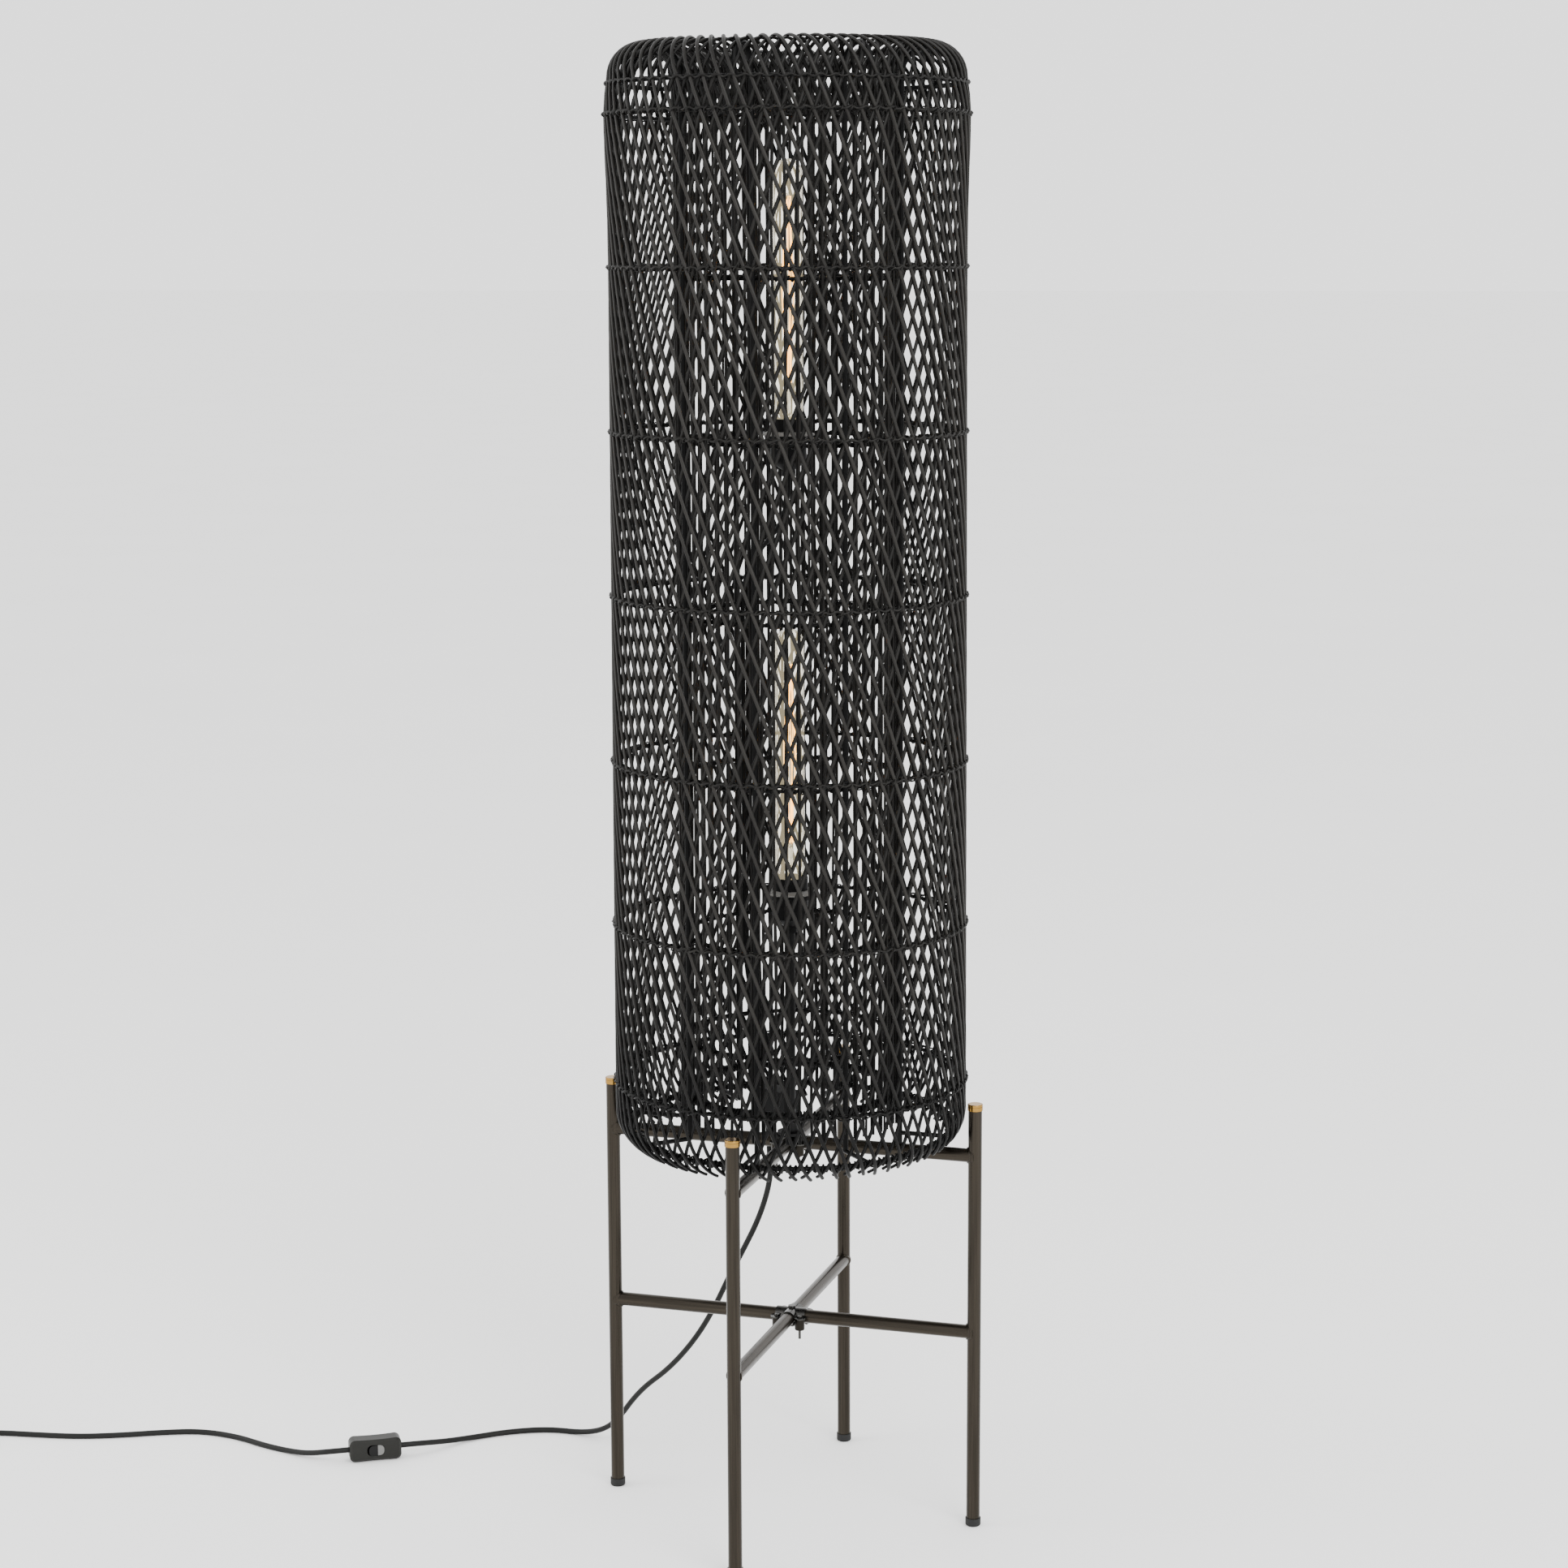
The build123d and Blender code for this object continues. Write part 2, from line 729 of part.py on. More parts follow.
# Stem that carries the lower holder, on a foot bolted through the upper clamp
crown_top = upper_bar_height + crown_height
stem_seat = crown_top + flange_thickness
box_bottom = stem_seat + hub_height + box_gap
gland_bottom = box_bottom - gland_length
stem_top = lower_socket_floor - holder_floor - holder_cap_height + cap_neck_height
gland_angle = degrees(atan2(gland_y, gland_x))
gland_reach = hypot(gland_x, gland_y)
lead_hole_height = box_bottom + box_height / 2
with BuildPart() as stem:
    with BuildSketch(Plane.XY.offset(stem_seat)):
        Circle(stem_radius)
        Circle(stem_radius - stem_wall, mode=Mode.SUBTRACT)
    extrude(amount=stem_top - stem_seat)
    with BuildSketch(outward(gland_angle, 0, lead_hole_height)):
        Circle(lead_radius)
    extrude(amount=stem_diameter, mode=Mode.SUBTRACT)
save(stem, "lamp_stem")

nut_tip = upper_bar_height - bar_radius - washer_thickness - nut_height
with BuildPart() as stem_foot:
    with BuildSketch(Plane.XY.offset(crown_top)):
        Circle(flange_radius)
    extrude(amount=flange_thickness)
    with BuildSketch(Plane.XY.offset(stem_seat)):
        Circle(hub_radius)
        Circle(stem_radius, mode=Mode.SUBTRACT)
    extrude(amount=hub_height)
    with BuildSketch(Plane.XY.offset(crown_top)):
        Circle(centre_bolt_diameter / 2)
    extrude(amount=nut_tip - crown_top)
save(stem_foot, "stem_foot")

# Junction box on the side of the stem, with its lid and the gland that the lead leaves by
box_length = gland_reach + gland_neck_radius + 2 * box_wall
with BuildPart() as box:
    box_plane = upright(gland_angle, 0, box_bottom)
    with BuildSketch(box_plane):
        Rectangle(box_length, box_width, align=(Align.MIN, Align.CENTER))
    extrude(amount=box_height)
    with BuildSketch(upright(gland_angle, stem_radius + box_wall, box_bottom + box_wall)):
        Rectangle(
            box_length - stem_radius - 2 * box_wall,
            box_width - 2 * box_wall,
            align=(Align.MIN, Align.CENTER),
        )
    extrude(amount=box_height, mode=Mode.SUBTRACT)
    with BuildSketch(box_plane):
        Circle(stem_radius)
        with Locations((gland_reach, 0)):
            Circle(gland_neck_radius)
    extrude(amount=box_height, mode=Mode.SUBTRACT)
    with BuildSketch(outward(gland_angle, 0, lead_hole_height)):
        Circle(lead_radius)
    extrude(amount=stem_diameter, mode=Mode.SUBTRACT)
save(box, "junction_box")

with BuildPart() as lid:
    with BuildSketch(upright(gland_angle, 0, box_bottom + box_height)):
        Rectangle(box_length, box_width, align=(Align.MIN, Align.CENTER))
        Circle(stem_radius, mode=Mode.SUBTRACT)
        with Locations((gland_reach, 0)):
            Circle(lead_radius, mode=Mode.SUBTRACT)
    extrude(amount=lid_thickness)
save(lid, "junction_lid")

gland_collar_radius = gland_neck_radius + box_wall
with BuildPart() as gland:
    with BuildSketch(Plane(origin=(gland_x, gland_y, 0), z_dir=(0, -1, 0), x_dir=(1, 0, 0))):
        Polygon(
            (0, gland_bottom),
            (gland_tip_radius, gland_bottom),
            (gland_neck_radius, box_bottom - gland_neck_length),
            (gland_neck_radius, box_bottom - box_wall),
            (gland_collar_radius, box_bottom - box_wall),
            (gland_collar_radius, box_bottom),
            (gland_neck_radius, box_bottom),
            (gland_neck_radius, box_bottom + 2 * box_wall),
            (0, box_bottom + 2 * box_wall),
            align=None,
        )
    revolve(axis=Axis((gland_x, gland_y, 0), (0, 0, 1)))
save(gland, "cord_gland")


# Leads and cord: straight runs joined by arcs as large as the runs allow
def corner_radii(points):
    """Radius at each corner: 0.45 of the shorter run over the tangent of half the turn."""
    places = [Vector(*point) for point in points]
    radii = []
    for before, here, after in zip(places, places[1:], places[2:]):
        run_in = here - before
        run_out = after - here
        half_turn = radians(run_in.get_angle(run_out)) / 2
        radii.append(arc_share * min(run_in.length, run_out.length) / tan(half_turn))
    return radii


def tube_along(points, radius):
    with BuildPart() as tube:
        with BuildLine() as path:
            FilletPolyline(*points, radius=corner_radii(points))
        route = path.wire()
        with BuildSketch(Plane(origin=route @ 0, z_dir=route % 0)):
            Circle(radius)
        sweep(path=route)
    return tube, route.length


lead_circle_radius = inner_hoop_radius - hoop_radius - lead_radius - touch
lead_x = lead_circle_radius * cos(radians(side_angle))
lead_y = lead_circle_radius * sin(radians(side_angle))
upper_lead_route = [
    (gland_x, gland_y, box_bottom + box_height - box_wall),
    (gland_x, gland_y, box_bottom + lead_rises[0]),
    (-44, 36, box_bottom + lead_rises[1]),
    (-69, 68, box_bottom + lead_rises[2]),
    (lead_x, lead_y, box_bottom + lead_rises[3]),
    (lead_x, lead_y, upper_socket_floor - lead_drops[0]),
    (-64, 64, upper_socket_floor - lead_drops[1]),
    (-38, 38, upper_socket_floor - lead_drops[2]),
    (-13, 13, upper_socket_floor - lead_drops[3]),
    (0, 0, upper_socket_floor - lead_drops[4]),
    (0, 0, upper_socket_floor - holder_floor),
]
upper_lead, upper_lead_length = tube_along(upper_lead_route, lead_radius)
save(upper_lead, "upper_lead")

with BuildPart() as lower_lead:
    with BuildSketch(Plane.XY.offset(lead_hole_height)):
        Circle(lead_radius)
    extrude(amount=lower_socket_floor - holder_floor - lead_hole_height)
save(lower_lead, "lower_lead")

# Clips that hold the upper lead to the inner hoops
with BuildPart() as clips:
    for height in clipped_hoops:
        with BuildSketch(upright(side_angle, lead_circle_radius, height - clip_height / 2)):
            Circle(lead_radius + clip_wall)
            Rectangle(
                inner_hoop_radius - lead_circle_radius,
                2 * (lead_radius + clip_wall),
                align=(Align.MIN, Align.CENTER),
            )
            Circle(lead_radius, mode=Mode.SUBTRACT)
        extrude(amount=clip_height)
        add(hoop(inner_hoop_radius, height, hoop_radius), mode=Mode.SUBTRACT)
save(clips, "lead_clips")

# Free cord from the gland down to the floor and along it to the switch
floor_line = cord_radius
switch_run = Vector(switch_end_x - switch_start_x, switch_end_y - switch_start_y, 0).normalized()
switch_level = switch_width / 2 + switch_rest
switch_start = Vector(switch_start_x, switch_start_y, switch_level)
switch_end = switch_start + switch_run * switch_length
cord_from_lamp_route = [
    (gland_x, gland_y, gland_bottom),
    (-28, 15, 380),
    (-34, 18, 352),
    (-47, 24, 318),
    (-66, 32, 282),
    (-86, 41, 246),
    (-105, 50, 208),
    (-127, 60, 171),
    (-152, 71, 138),
    (-179, 83, 109),
    (-206, 95, 86),
    (-227, 105, 63),
    (-245, 113, 38),
    (-268, 124, 15),
    (-300, 134, floor_line),
    (-344, 134, floor_line),
    (-386, 113, floor_line),
    (-417, 86, floor_line),
    (-441, 57, 6),
    tuple(switch_start - switch_run * 22),
    tuple(switch_start),
]
cord_to_coil_route = [
    tuple(switch_end),
    tuple(switch_end + switch_run * 24),
    (-582, -28, 6.5),
    (-612, -19, floor_line),
    (-646, -11, floor_line),
    (-690, 6, floor_line),
    (-738, 10, floor_line),
    (-780, -6, floor_line),
    (-822, -28, floor_line),
    (-868, -47, floor_line),
    (-918, -56, floor_line),
]

# Coil: two turns lie on the floor, winding in, and the next wind out again on top of them
step = (cord_diameter + coil_gap) / 2
heading = Vector(cos(radians(coil_heading)), sin(radians(coil_heading)), 0)
sideways = Vector(heading.Y, -heading.X, 0)
outer_turn = coil_inner_radius + 2 * coil_layer_turns * step
coil_entry = Vector(coil_entry_x, coil_entry_y, 0)
coil_plane = Plane(origin=coil_entry - sideways * outer_turn, x_dir=sideways, z_dir=(0, 0, 1))
upper_layer = cord_radius + cord_diameter + coil_gap


def coil_place(x, y, z):
    return coil_plane.from_local_coords(Vector(x, y, z))


def turn_end(half):
    """Where one half turn ends, to the right or left of the coil's middle."""
    reach = coil_inner_radius + 2 * step * ((half + 1) // 2)
    return reach if half % 2 == 0 else -reach


half_turns = 2 * coil_layer_turns
climb_top = sqrt(coil_inner_radius**2 + ((upper_layer - floor_line) / 2) ** 2)
coil_stops = [coil_place(turn_end(half), 0, floor_line) for half in range(half_turns, -1, -1)]
coil_stops.append(coil_place(0, climb_top, (floor_line + upper_layer) / 2))
coil_stops.extend(coil_place(-turn_end(half), 0, upper_layer) for half in range(half_turns))
with BuildLine() as coil_path:
    run = Line(coil_stops[0] - heading * cord_diameter, coil_stops[0])
    for stop in coil_stops[1:]:
        run = TangentArc(run @ 1, stop, tangent=run % 1)
    tail = Line(run @ 1, run @ 1 + heading * tail_length)
coil_line = coil_path.wire()
coil_start = coil_stops[0] - heading * cord_diameter
with BuildPart() as coil:
    with BuildSketch(Plane(origin=coil_start, z_dir=heading)):
        Circle(cord_radius)
    sweep(path=coil_line)
save(coil, "cord_coil")

cord_to_coil_route.append(tuple(coil_start - heading * coil_run_in))
cord_to_coil_route.append(tuple(coil_start))
cord_a, cord_a_length = tube_along(cord_from_lamp_route, cord_radius)
save(cord_a, "cord_from_lamp")
cord_b, cord_b_length = tube_along(cord_to_coil_route, cord_radius)
save(cord_b, "cord_to_coil")

# Hand switch: two shells with a rocker between them. It stands on its long edge on the
# floor, so its heights are measured from its back towards its face, level with the floor.
switch_face = Vector(-switch_run.Y, switch_run.X, 0)
switch_back = (switch_start + switch_end) / 2 - switch_face * switch_axis_depth
switch_plane = Plane(origin=switch_back, x_dir=switch_run, z_dir=switch_face)
towards_face = Axis(switch_back, switch_face)
switch_split = switch_axis_depth
rocker_window_length = rocker_length + 2 * rocker_end_gap
rocker_window_width = rocker_width + 2 * rocker_gap

# Slightly waisted outline of the switch with round corners, seen from its face
half_length = switch_length / 2
half_width = switch_width / 2
with BuildSketch() as switch_plan:
    with BuildLine():
        side = ThreePointArc(
            (-half_length, half_width),
            (0, half_width - switch_waist),
            (half_length, half_width),
        )
        mirror(side, about=Plane.XZ)
        Line((-half_length, half_width), (-half_length, -half_width))
        Line((half_length, half_width), (half_length, -half_width))
    make_face()
    fillet(switch_plan.vertices(), switch_corner)


def at_switch(height):
    return switch_plane.offset(height)


pin_plane = Plane(
    origin=at_switch(rocker_pivot_height).origin,
    x_dir=switch_run,
    z_dir=-switch_plane.y_dir,
)
with BuildPart() as switch_base:
    with BuildSketch(switch_plane):
        add(switch_plan.sketch)
    extrude(amount=switch_split)
    chamfer(switch_base.faces().sort_by(towards_face)[0].edges(), switch_edge / 2)
    with BuildSketch(at_switch(switch_split)):
        RectangleRounded(rocker_window_length, rocker_window_width, rocker_corner + rocker_gap)
    extrude(amount=-rocker_well, mode=Mode.SUBTRACT)
save(switch_base, "switch_base")

with BuildPart() as switch_cover:
    with BuildSketch(at_switch(switch_split)):
        add(switch_plan.sketch)
    extrude(amount=switch_height - switch_split)
    chamfer(switch_cover.faces().sort_by(towards_face)[-1].edges(), switch_edge)
    with BuildSketch(at_switch(switch_split)):
        RectangleRounded(rocker_window_length, rocker_window_width, rocker_corner + rocker_gap)
    extrude(amount=switch_height, mode=Mode.SUBTRACT)
    with BuildSketch(pin_plane):
        Circle(rocker_pin_radius + rocker_pin_clearance)
    extrude(amount=rocker_width / 2 + rocker_pin_length + rocker_gap, both=True, mode=Mode.SUBTRACT)
save(switch_cover, "switch_cover")

rocker_crown = switch_height + rocker_proud - rocker_pivot_height
with BuildPart() as rocker:
    with BuildSketch(pin_plane):
        half = rocker_length / 2
        facet = half * tan(radians(rocker_tilt))
        Polygon(
            (-half, rocker_crown + facet),
            (0, rocker_crown),
            (half, rocker_crown + facet),
            (half, 0),
            (half - rocker_draft, -rocker_skirt),
            (-half + rocker_draft, -rocker_skirt),
            (-half, 0),
            align=None,
        )
    extrude(amount=rocker_width / 2, both=True)
    with BuildSketch(switch_plane):
        RectangleRounded(rocker_length, rocker_width, rocker_corner)
    extrude(amount=2 * switch_height, mode=Mode.INTERSECT)
    with BuildSketch(pin_plane):
        Circle(rocker_pin_radius)
    extrude(amount=rocker_width / 2 + rocker_pin_length, both=True)
pivot_axis = Axis(pin_plane.origin, pin_plane.z_dir)
rocker.part = rocker.part.rotate(pivot_axis, rocker_tilt)
save(rocker, "switch_rocker")

# Plug: a moulded body with its strain relief, and two round pins
plug_axis = coil_place(outer_turn, tail_length, upper_layer)
plug_thickness = 2 * upper_layer
plug_plane = Plane(origin=plug_axis, x_dir=(0, 0, 1), z_dir=heading)
with BuildPart() as plug:
    with BuildSketch(plug_plane):
        Circle(gland_tip_radius)
    with BuildSketch(plug_plane.offset(relief_length)):
        Circle(relief_end_radius)
    loft()
    with BuildSketch(plug_plane.offset(relief_length)):
        RectangleRounded(plug_thickness, plug_width, plug_corner)
    extrude(amount=plug_length)
    fillet(plug.faces().filter_by(GeomType.PLANE).sort_by(Axis(plug_axis, heading))[-1].edges(), plug_edge)
save(plug, "plug_body")

with BuildPart() as pins:
    with BuildSketch(plug_plane.offset(relief_length + plug_length)):
        with GridLocations(0, pin_spacing, 1, 2):
            Circle(pin_diameter / 2)
    extrude(amount=pin_length)
    fillet(pins.faces().sort_by(Axis(plug_axis, heading))[-2:].edges(), pin_diameter / 4)
save(pins, "plug_pins")


# Printed checks of the cord: radii, volumes, the coil's least gap and the whole length
def show_radii(name, route):
    print(name, "radii", [round(radius, 1) for radius in corner_radii(route)])


def show_volume(name, solid, length, radius):
    print(name, "volume over section times length", round(solid.volume / (length * pi * radius**2), 4))


def least_gap(line, spacing, apart):
    """Least clear distance between places on the line that are at least apart along it."""
    count = int(line.length / spacing)
    places = [line @ (index / count) for index in range(count + 1)]
    skip = int(apart / spacing)
    closest = min(
        (places[first] - places[second]).length
        for first in range(len(places))
        for second in range(first + skip, len(places))
    )
    return closest - cord_diameter


show_radii("upper lead", upper_lead_route)
show_radii("cord from lamp", cord_from_lamp_route)
show_radii("cord to coil", cord_to_coil_route)
show_volume("upper lead", upper_lead.part, upper_lead_length, lead_radius)
show_volume("cord from lamp", cord_a.part, cord_a_length, cord_radius)
show_volume("cord to coil", cord_b.part, cord_b_length, cord_radius)
show_volume("cord coil", coil.part, coil_line.length, cord_radius)
print("coil least gap", round(least_gap(coil_line, cord_radius, 9 * cord_diameter), 2))
print("coil length", round(coil_line.length, 1))
cord_total = cord_a_length + switch_length + cord_b_length + coil_line.length
print("cord length with the switch", round(cord_total, 1))
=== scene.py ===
"""Rattan floor lamp: the woven shade, the cord, the glow of the bulbs and every finish."""
import json
from math import acos, cos, exp, hypot, pi, radians, sin, tan

import bmesh
import bpy
from mathutils import Matrix, Vector


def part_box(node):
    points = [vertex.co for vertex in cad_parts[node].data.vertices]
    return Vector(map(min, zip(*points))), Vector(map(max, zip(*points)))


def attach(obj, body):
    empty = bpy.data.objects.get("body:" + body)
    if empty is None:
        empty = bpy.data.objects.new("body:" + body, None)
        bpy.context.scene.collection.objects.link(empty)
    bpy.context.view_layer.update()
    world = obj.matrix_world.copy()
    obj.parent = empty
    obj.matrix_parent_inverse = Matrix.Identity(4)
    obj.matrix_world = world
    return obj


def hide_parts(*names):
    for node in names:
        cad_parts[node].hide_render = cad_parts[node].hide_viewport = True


bl_info = {
    "name": "Rattan Floor Lamp",
    "version": (1, 0, 0),
    "blender": (4, 5, 0),
    "location": "View3D > Sidebar > Lamp",
    "description": "Weaves the shade, lays the cord and finishes the metal of a rattan floor lamp",
    "category": "Object",
}

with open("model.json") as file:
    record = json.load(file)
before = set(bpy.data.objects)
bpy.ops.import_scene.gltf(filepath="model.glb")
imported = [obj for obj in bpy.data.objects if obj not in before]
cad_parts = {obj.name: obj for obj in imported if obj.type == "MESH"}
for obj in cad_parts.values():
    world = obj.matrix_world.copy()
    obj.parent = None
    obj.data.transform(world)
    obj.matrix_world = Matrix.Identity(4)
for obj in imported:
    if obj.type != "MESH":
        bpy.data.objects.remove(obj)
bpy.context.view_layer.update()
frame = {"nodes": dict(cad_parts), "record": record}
NODES = frame["nodes"]
MM = 0.001

# The weave's surfaces, read from the shade's solids
RIM_LOW, RIM_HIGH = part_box("shade_rim_weave")
HEM_LOW, HEM_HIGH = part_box("shade_hem_weave")
RIM_LEVEL = RIM_LOW.z
RIM_RADIUS = RIM_HIGH.z - RIM_LEVEL
RIM_MIDDLE = RIM_HIGH.x - RIM_RADIUS
TOP_RADIUS = RIM_HIGH.x
BOTTOM_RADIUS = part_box("shade_outer_weave")[1].x
OPENING_RADIUS = RIM_MIDDLE - RIM_RADIUS
INNER_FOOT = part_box("shade_inner_weave")[0].z

# Radius of the hem's curl, and how far the hem's edge lies inside the wall
HEM_CURL = 45 * MM
HEM_TUCK = 31 * MM

# The slight swell of the wall under its shoulder: its height and its reach below and above
SWELL_LEVEL = 1535 * MM
SWELL = 3.5 * MM
SWELL_BELOW = 85 * MM
SWELL_ABOVE = 20 * MM

# Heights of the shoulder's thread and the bottom ring, and of the hoops in millimetres
SHOULDER_LEVEL = 1560 * MM
RING_LEVEL = 440 * MM
OUTER_HOOPS = [1528, 1371, 1199, 1025, 847, 670, 496]
INNER_HOOPS = [1532, 1360, 1190, 1004, 830, 656, 541, 480]

# The hand switch on the cord, in millimetres
SWITCH_LENGTH = 60
SWITCH_START = Vector((-481, 10, 13.8))
SWITCH_RUN = Vector((-51.3, -31.1, 0)).normalized()
SWITCH_END = SWITCH_START + SWITCH_RUN * SWITCH_LENGTH


# Sizes and colours that a maker may change

class LampStudioSettings(bpy.types.PropertyGroup):
    camera_place: bpy.props.FloatVectorProperty(
        name="Camera Place", description="Where the camera stands",
        default=(1.0228, -3.3346, 1.4023), subtype="XYZ", unit="LENGTH",
    )
    camera_turn: bpy.props.FloatProperty(
        name="Camera Turn", description="How far the camera is turned about the vertical",
        default=radians(17.154), subtype="ANGLE", unit="ROTATION",
    )
    camera_tilt: bpy.props.FloatProperty(
        name="Camera Tilt", description="How far the camera looks down",
        default=radians(9.494), subtype="ANGLE", unit="ROTATION",
    )
    camera_roll: bpy.props.FloatProperty(
        name="Camera Roll", description="Turn of the camera about its own view",
        default=radians(-0.241), subtype="ANGLE", unit="ROTATION",
    )
    lens: bpy.props.FloatProperty(
        name="Lens", description="Focal length in millimetres",
        default=75.155, min=10, unit="CAMERA",
    )
    sky_strength: bpy.props.FloatProperty(
        name="Surround", description="Strength of the even white light all round",
        default=2.0, min=0,
    )
    key_power: bpy.props.FloatProperty(
        name="Key Light", description="Power of the large soft light", default=160, min=0, unit="POWER",
    )
    floor_size: bpy.props.FloatProperty(
        name="Floor", description="Width of the pale floor", default=160, min=1, unit="LENGTH",
    )


class LampCordSettings(bpy.types.PropertyGroup):
    diameter: bpy.props.FloatProperty(
        name="Cord Diameter", description="Thickness of the round cord",
        default=0.0065, min=0.001, unit="LENGTH",
    )
    length: bpy.props.FloatProperty(
        name="Cord Length", description="Length of cord from the lamp to the plug",
        default=2.207, min=0.1, unit="LENGTH",
    )


class LampWeaveSettings(bpy.types.PropertyGroup):
    strand_count: bpy.props.IntProperty(
        name="Strands", description="Slanting strands of one direction in the outer wall",
        default=72, min=8,
    )
    strand_width: bpy.props.FloatProperty(
        name="Strand Width", description="Width of one cane", default=0.0041, min=0.0005, unit="LENGTH",
    )
    strand_thickness: bpy.props.FloatProperty(
        name="Strand Thickness", description="Thickness of one cane",
        default=0.0033, min=0.0005, unit="LENGTH",
    )
    lean: bpy.props.FloatProperty(
        name="Lean", description="Slant of the strands from the vertical",
        default=radians(21.8), subtype="ANGLE", unit="ROTATION",
    )
    inner_count: bpy.props.IntProperty(
        name="Inner Pairs", description="Pairs of upright strands in the inner wall",
        default=58, min=8,
    )
    inner_gap: bpy.props.FloatProperty(
        name="Pair Gap", description="Distance between the two strands of a pair",
        default=0.0010, min=0, unit="LENGTH",
    )
    inner_depth: bpy.props.FloatProperty(
        name="Pair Depth", description="How far one strand of a pair lies behind the other",
        default=0.0025, min=0, unit="LENGTH",
    )
    wander: bpy.props.FloatProperty(
        name="Wander", description="How far a strand strays from its true line",
        default=0.0016, min=0, unit="LENGTH",
    )
    ragged_cut: bpy.props.FloatProperty(
        name="Ragged Cut", description="Share of its length that a cane may lack at the hem",
        default=0.006, min=0, max=1,
    )
    tilt_cut: bpy.props.FloatProperty(
        name="Tilted Cut", description="Share of its length that a cane lacks on the hem's higher side",
        default=0.008, min=0, max=1,
    )
    bar_cut: bpy.props.FloatProperty(
        name="Cut at Bars", description="Share of its length that a cane lacks over a bar of the stand",
        default=0.0165, min=0, max=1,
    )
    inner_share: bpy.props.FloatProperty(
        name="Inner Strand Size", description="Size of an inner cane as a share of an outer one",
        default=0.72, min=0.1, subtype="FACTOR",
    )
    twine_radius: bpy.props.FloatProperty(
        name="Twine Radius", description="Radius of the thread that ties the strands to the hoops",
        default=0.0009, min=0.0001, unit="LENGTH",
    )
    seed: bpy.props.IntProperty(name="Seed", description="Seed of every random choice", default=4)


class LampFinishSettings(bpy.types.PropertyGroup):
    cane: bpy.props.FloatVectorProperty(
        name="Cane", description="Colour of the stained cane",
        default=(0.0066, 0.0061, 0.0054), subtype="COLOR", min=0, max=1,
    )
    gunmetal: bpy.props.FloatVectorProperty(
        name="Gunmetal", description="Colour of the stand's tubes",
        default=(0.031, 0.026, 0.020), subtype="COLOR", min=0, max=1,
    )
    brass: bpy.props.FloatVectorProperty(
        name="Brass", description="Colour of the caps on the legs",
        default=(0.30, 0.17, 0.040), subtype="COLOR", min=0, max=1,
    )
    glow: bpy.props.FloatVectorProperty(
        name="Glow", description="Colour of the hot filament",
        default=(1.0, 0.50, 0.09), subtype="COLOR", min=0, max=1,
    )
    glow_strength: bpy.props.FloatProperty(
        name="Glow Strength", description="Brightness of the hot filament", default=4.5, min=0,
    )
    filament_runs: bpy.props.IntProperty(
        name="Filament Runs", description="Upright runs of hot wire in one bulb", default=8, min=2,
    )
    filament_radius: bpy.props.FloatProperty(
        name="Filament Radius", description="Radius of the hot wire",
        default=0.0006, min=0.0001, unit="LENGTH",
    )


# Node trees

class Wiring:
    """Adds nodes to one tree and joins them: a socket given as a value is linked."""

    def __init__(self, tree):
        self.tree = tree

    def add(self, kind, inputs=None, **values):
        made = self.tree.nodes.new(kind)
        for name, value in values.items():
            setattr(made, name, value)
        for key, value in (inputs or {}).items():
            socket = made.inputs[key]
            if isinstance(value, bpy.types.NodeSocket):
                self.tree.links.new(value, socket)
            else:
                socket.default_value = value
        return made

    def math(self, operation, *values):
        node = self.add("ShaderNodeMath", dict(enumerate(values)), operation=operation)
        return node.outputs[0]


def tree_with_inputs(name, inputs):
    """A node tree that takes geometry and the named inputs, and gives geometry back."""
    tree = bpy.data.node_groups.new(name, "GeometryNodeTree")
    tree.interface.new_socket("Geometry", in_out="INPUT", socket_type="NodeSocketGeometry")
    for label, kind in inputs.items():
        tree.interface.new_socket(label, in_out="INPUT", socket_type=f"NodeSocket{kind}")
    tree.interface.new_socket("Geometry", in_out="OUTPUT", socket_type="NodeSocketGeometry")
    wiring = Wiring(tree)
    return tree, wiring, wiring.add("NodeGroupInput").outputs


def close_tree(wiring, geometry, material):
    """End a tree with real geometry in its material."""
    real = wiring.add("GeometryNodeRealizeInstances", {"Geometry": geometry})
    smooth = wiring.add("GeometryNodeSetShadeSmooth", {"Geometry": real.outputs[0]})
    painted = wiring.add("GeometryNodeSetMaterial", {
        "Geometry": smooth.outputs[0], "Material": material,
    })
    wiring.add("NodeGroupOutput", {0: painted.outputs[0]})


def read_attribute(wiring, name, data_type):
    found = wiring.add("GeometryNodeInputNamedAttribute", {"Name": name}, data_type=data_type)
    return found.outputs["Attribute"]


def store_attribute(wiring, geometry, name, value):
    stored = wiring.add(
        "GeometryNodeStoreNamedAttribute", {"Geometry": geometry, "Name": name, "Value": value},
        data_type="FLOAT", domain="POINT",
    )
    return stored.outputs[0]


def random_number(wiring, low, high, item, seed):
    picked = wiring.add("FunctionNodeRandomValue", {2: low, 3: high, "ID": item, "Seed": seed})
    return picked.outputs[1]


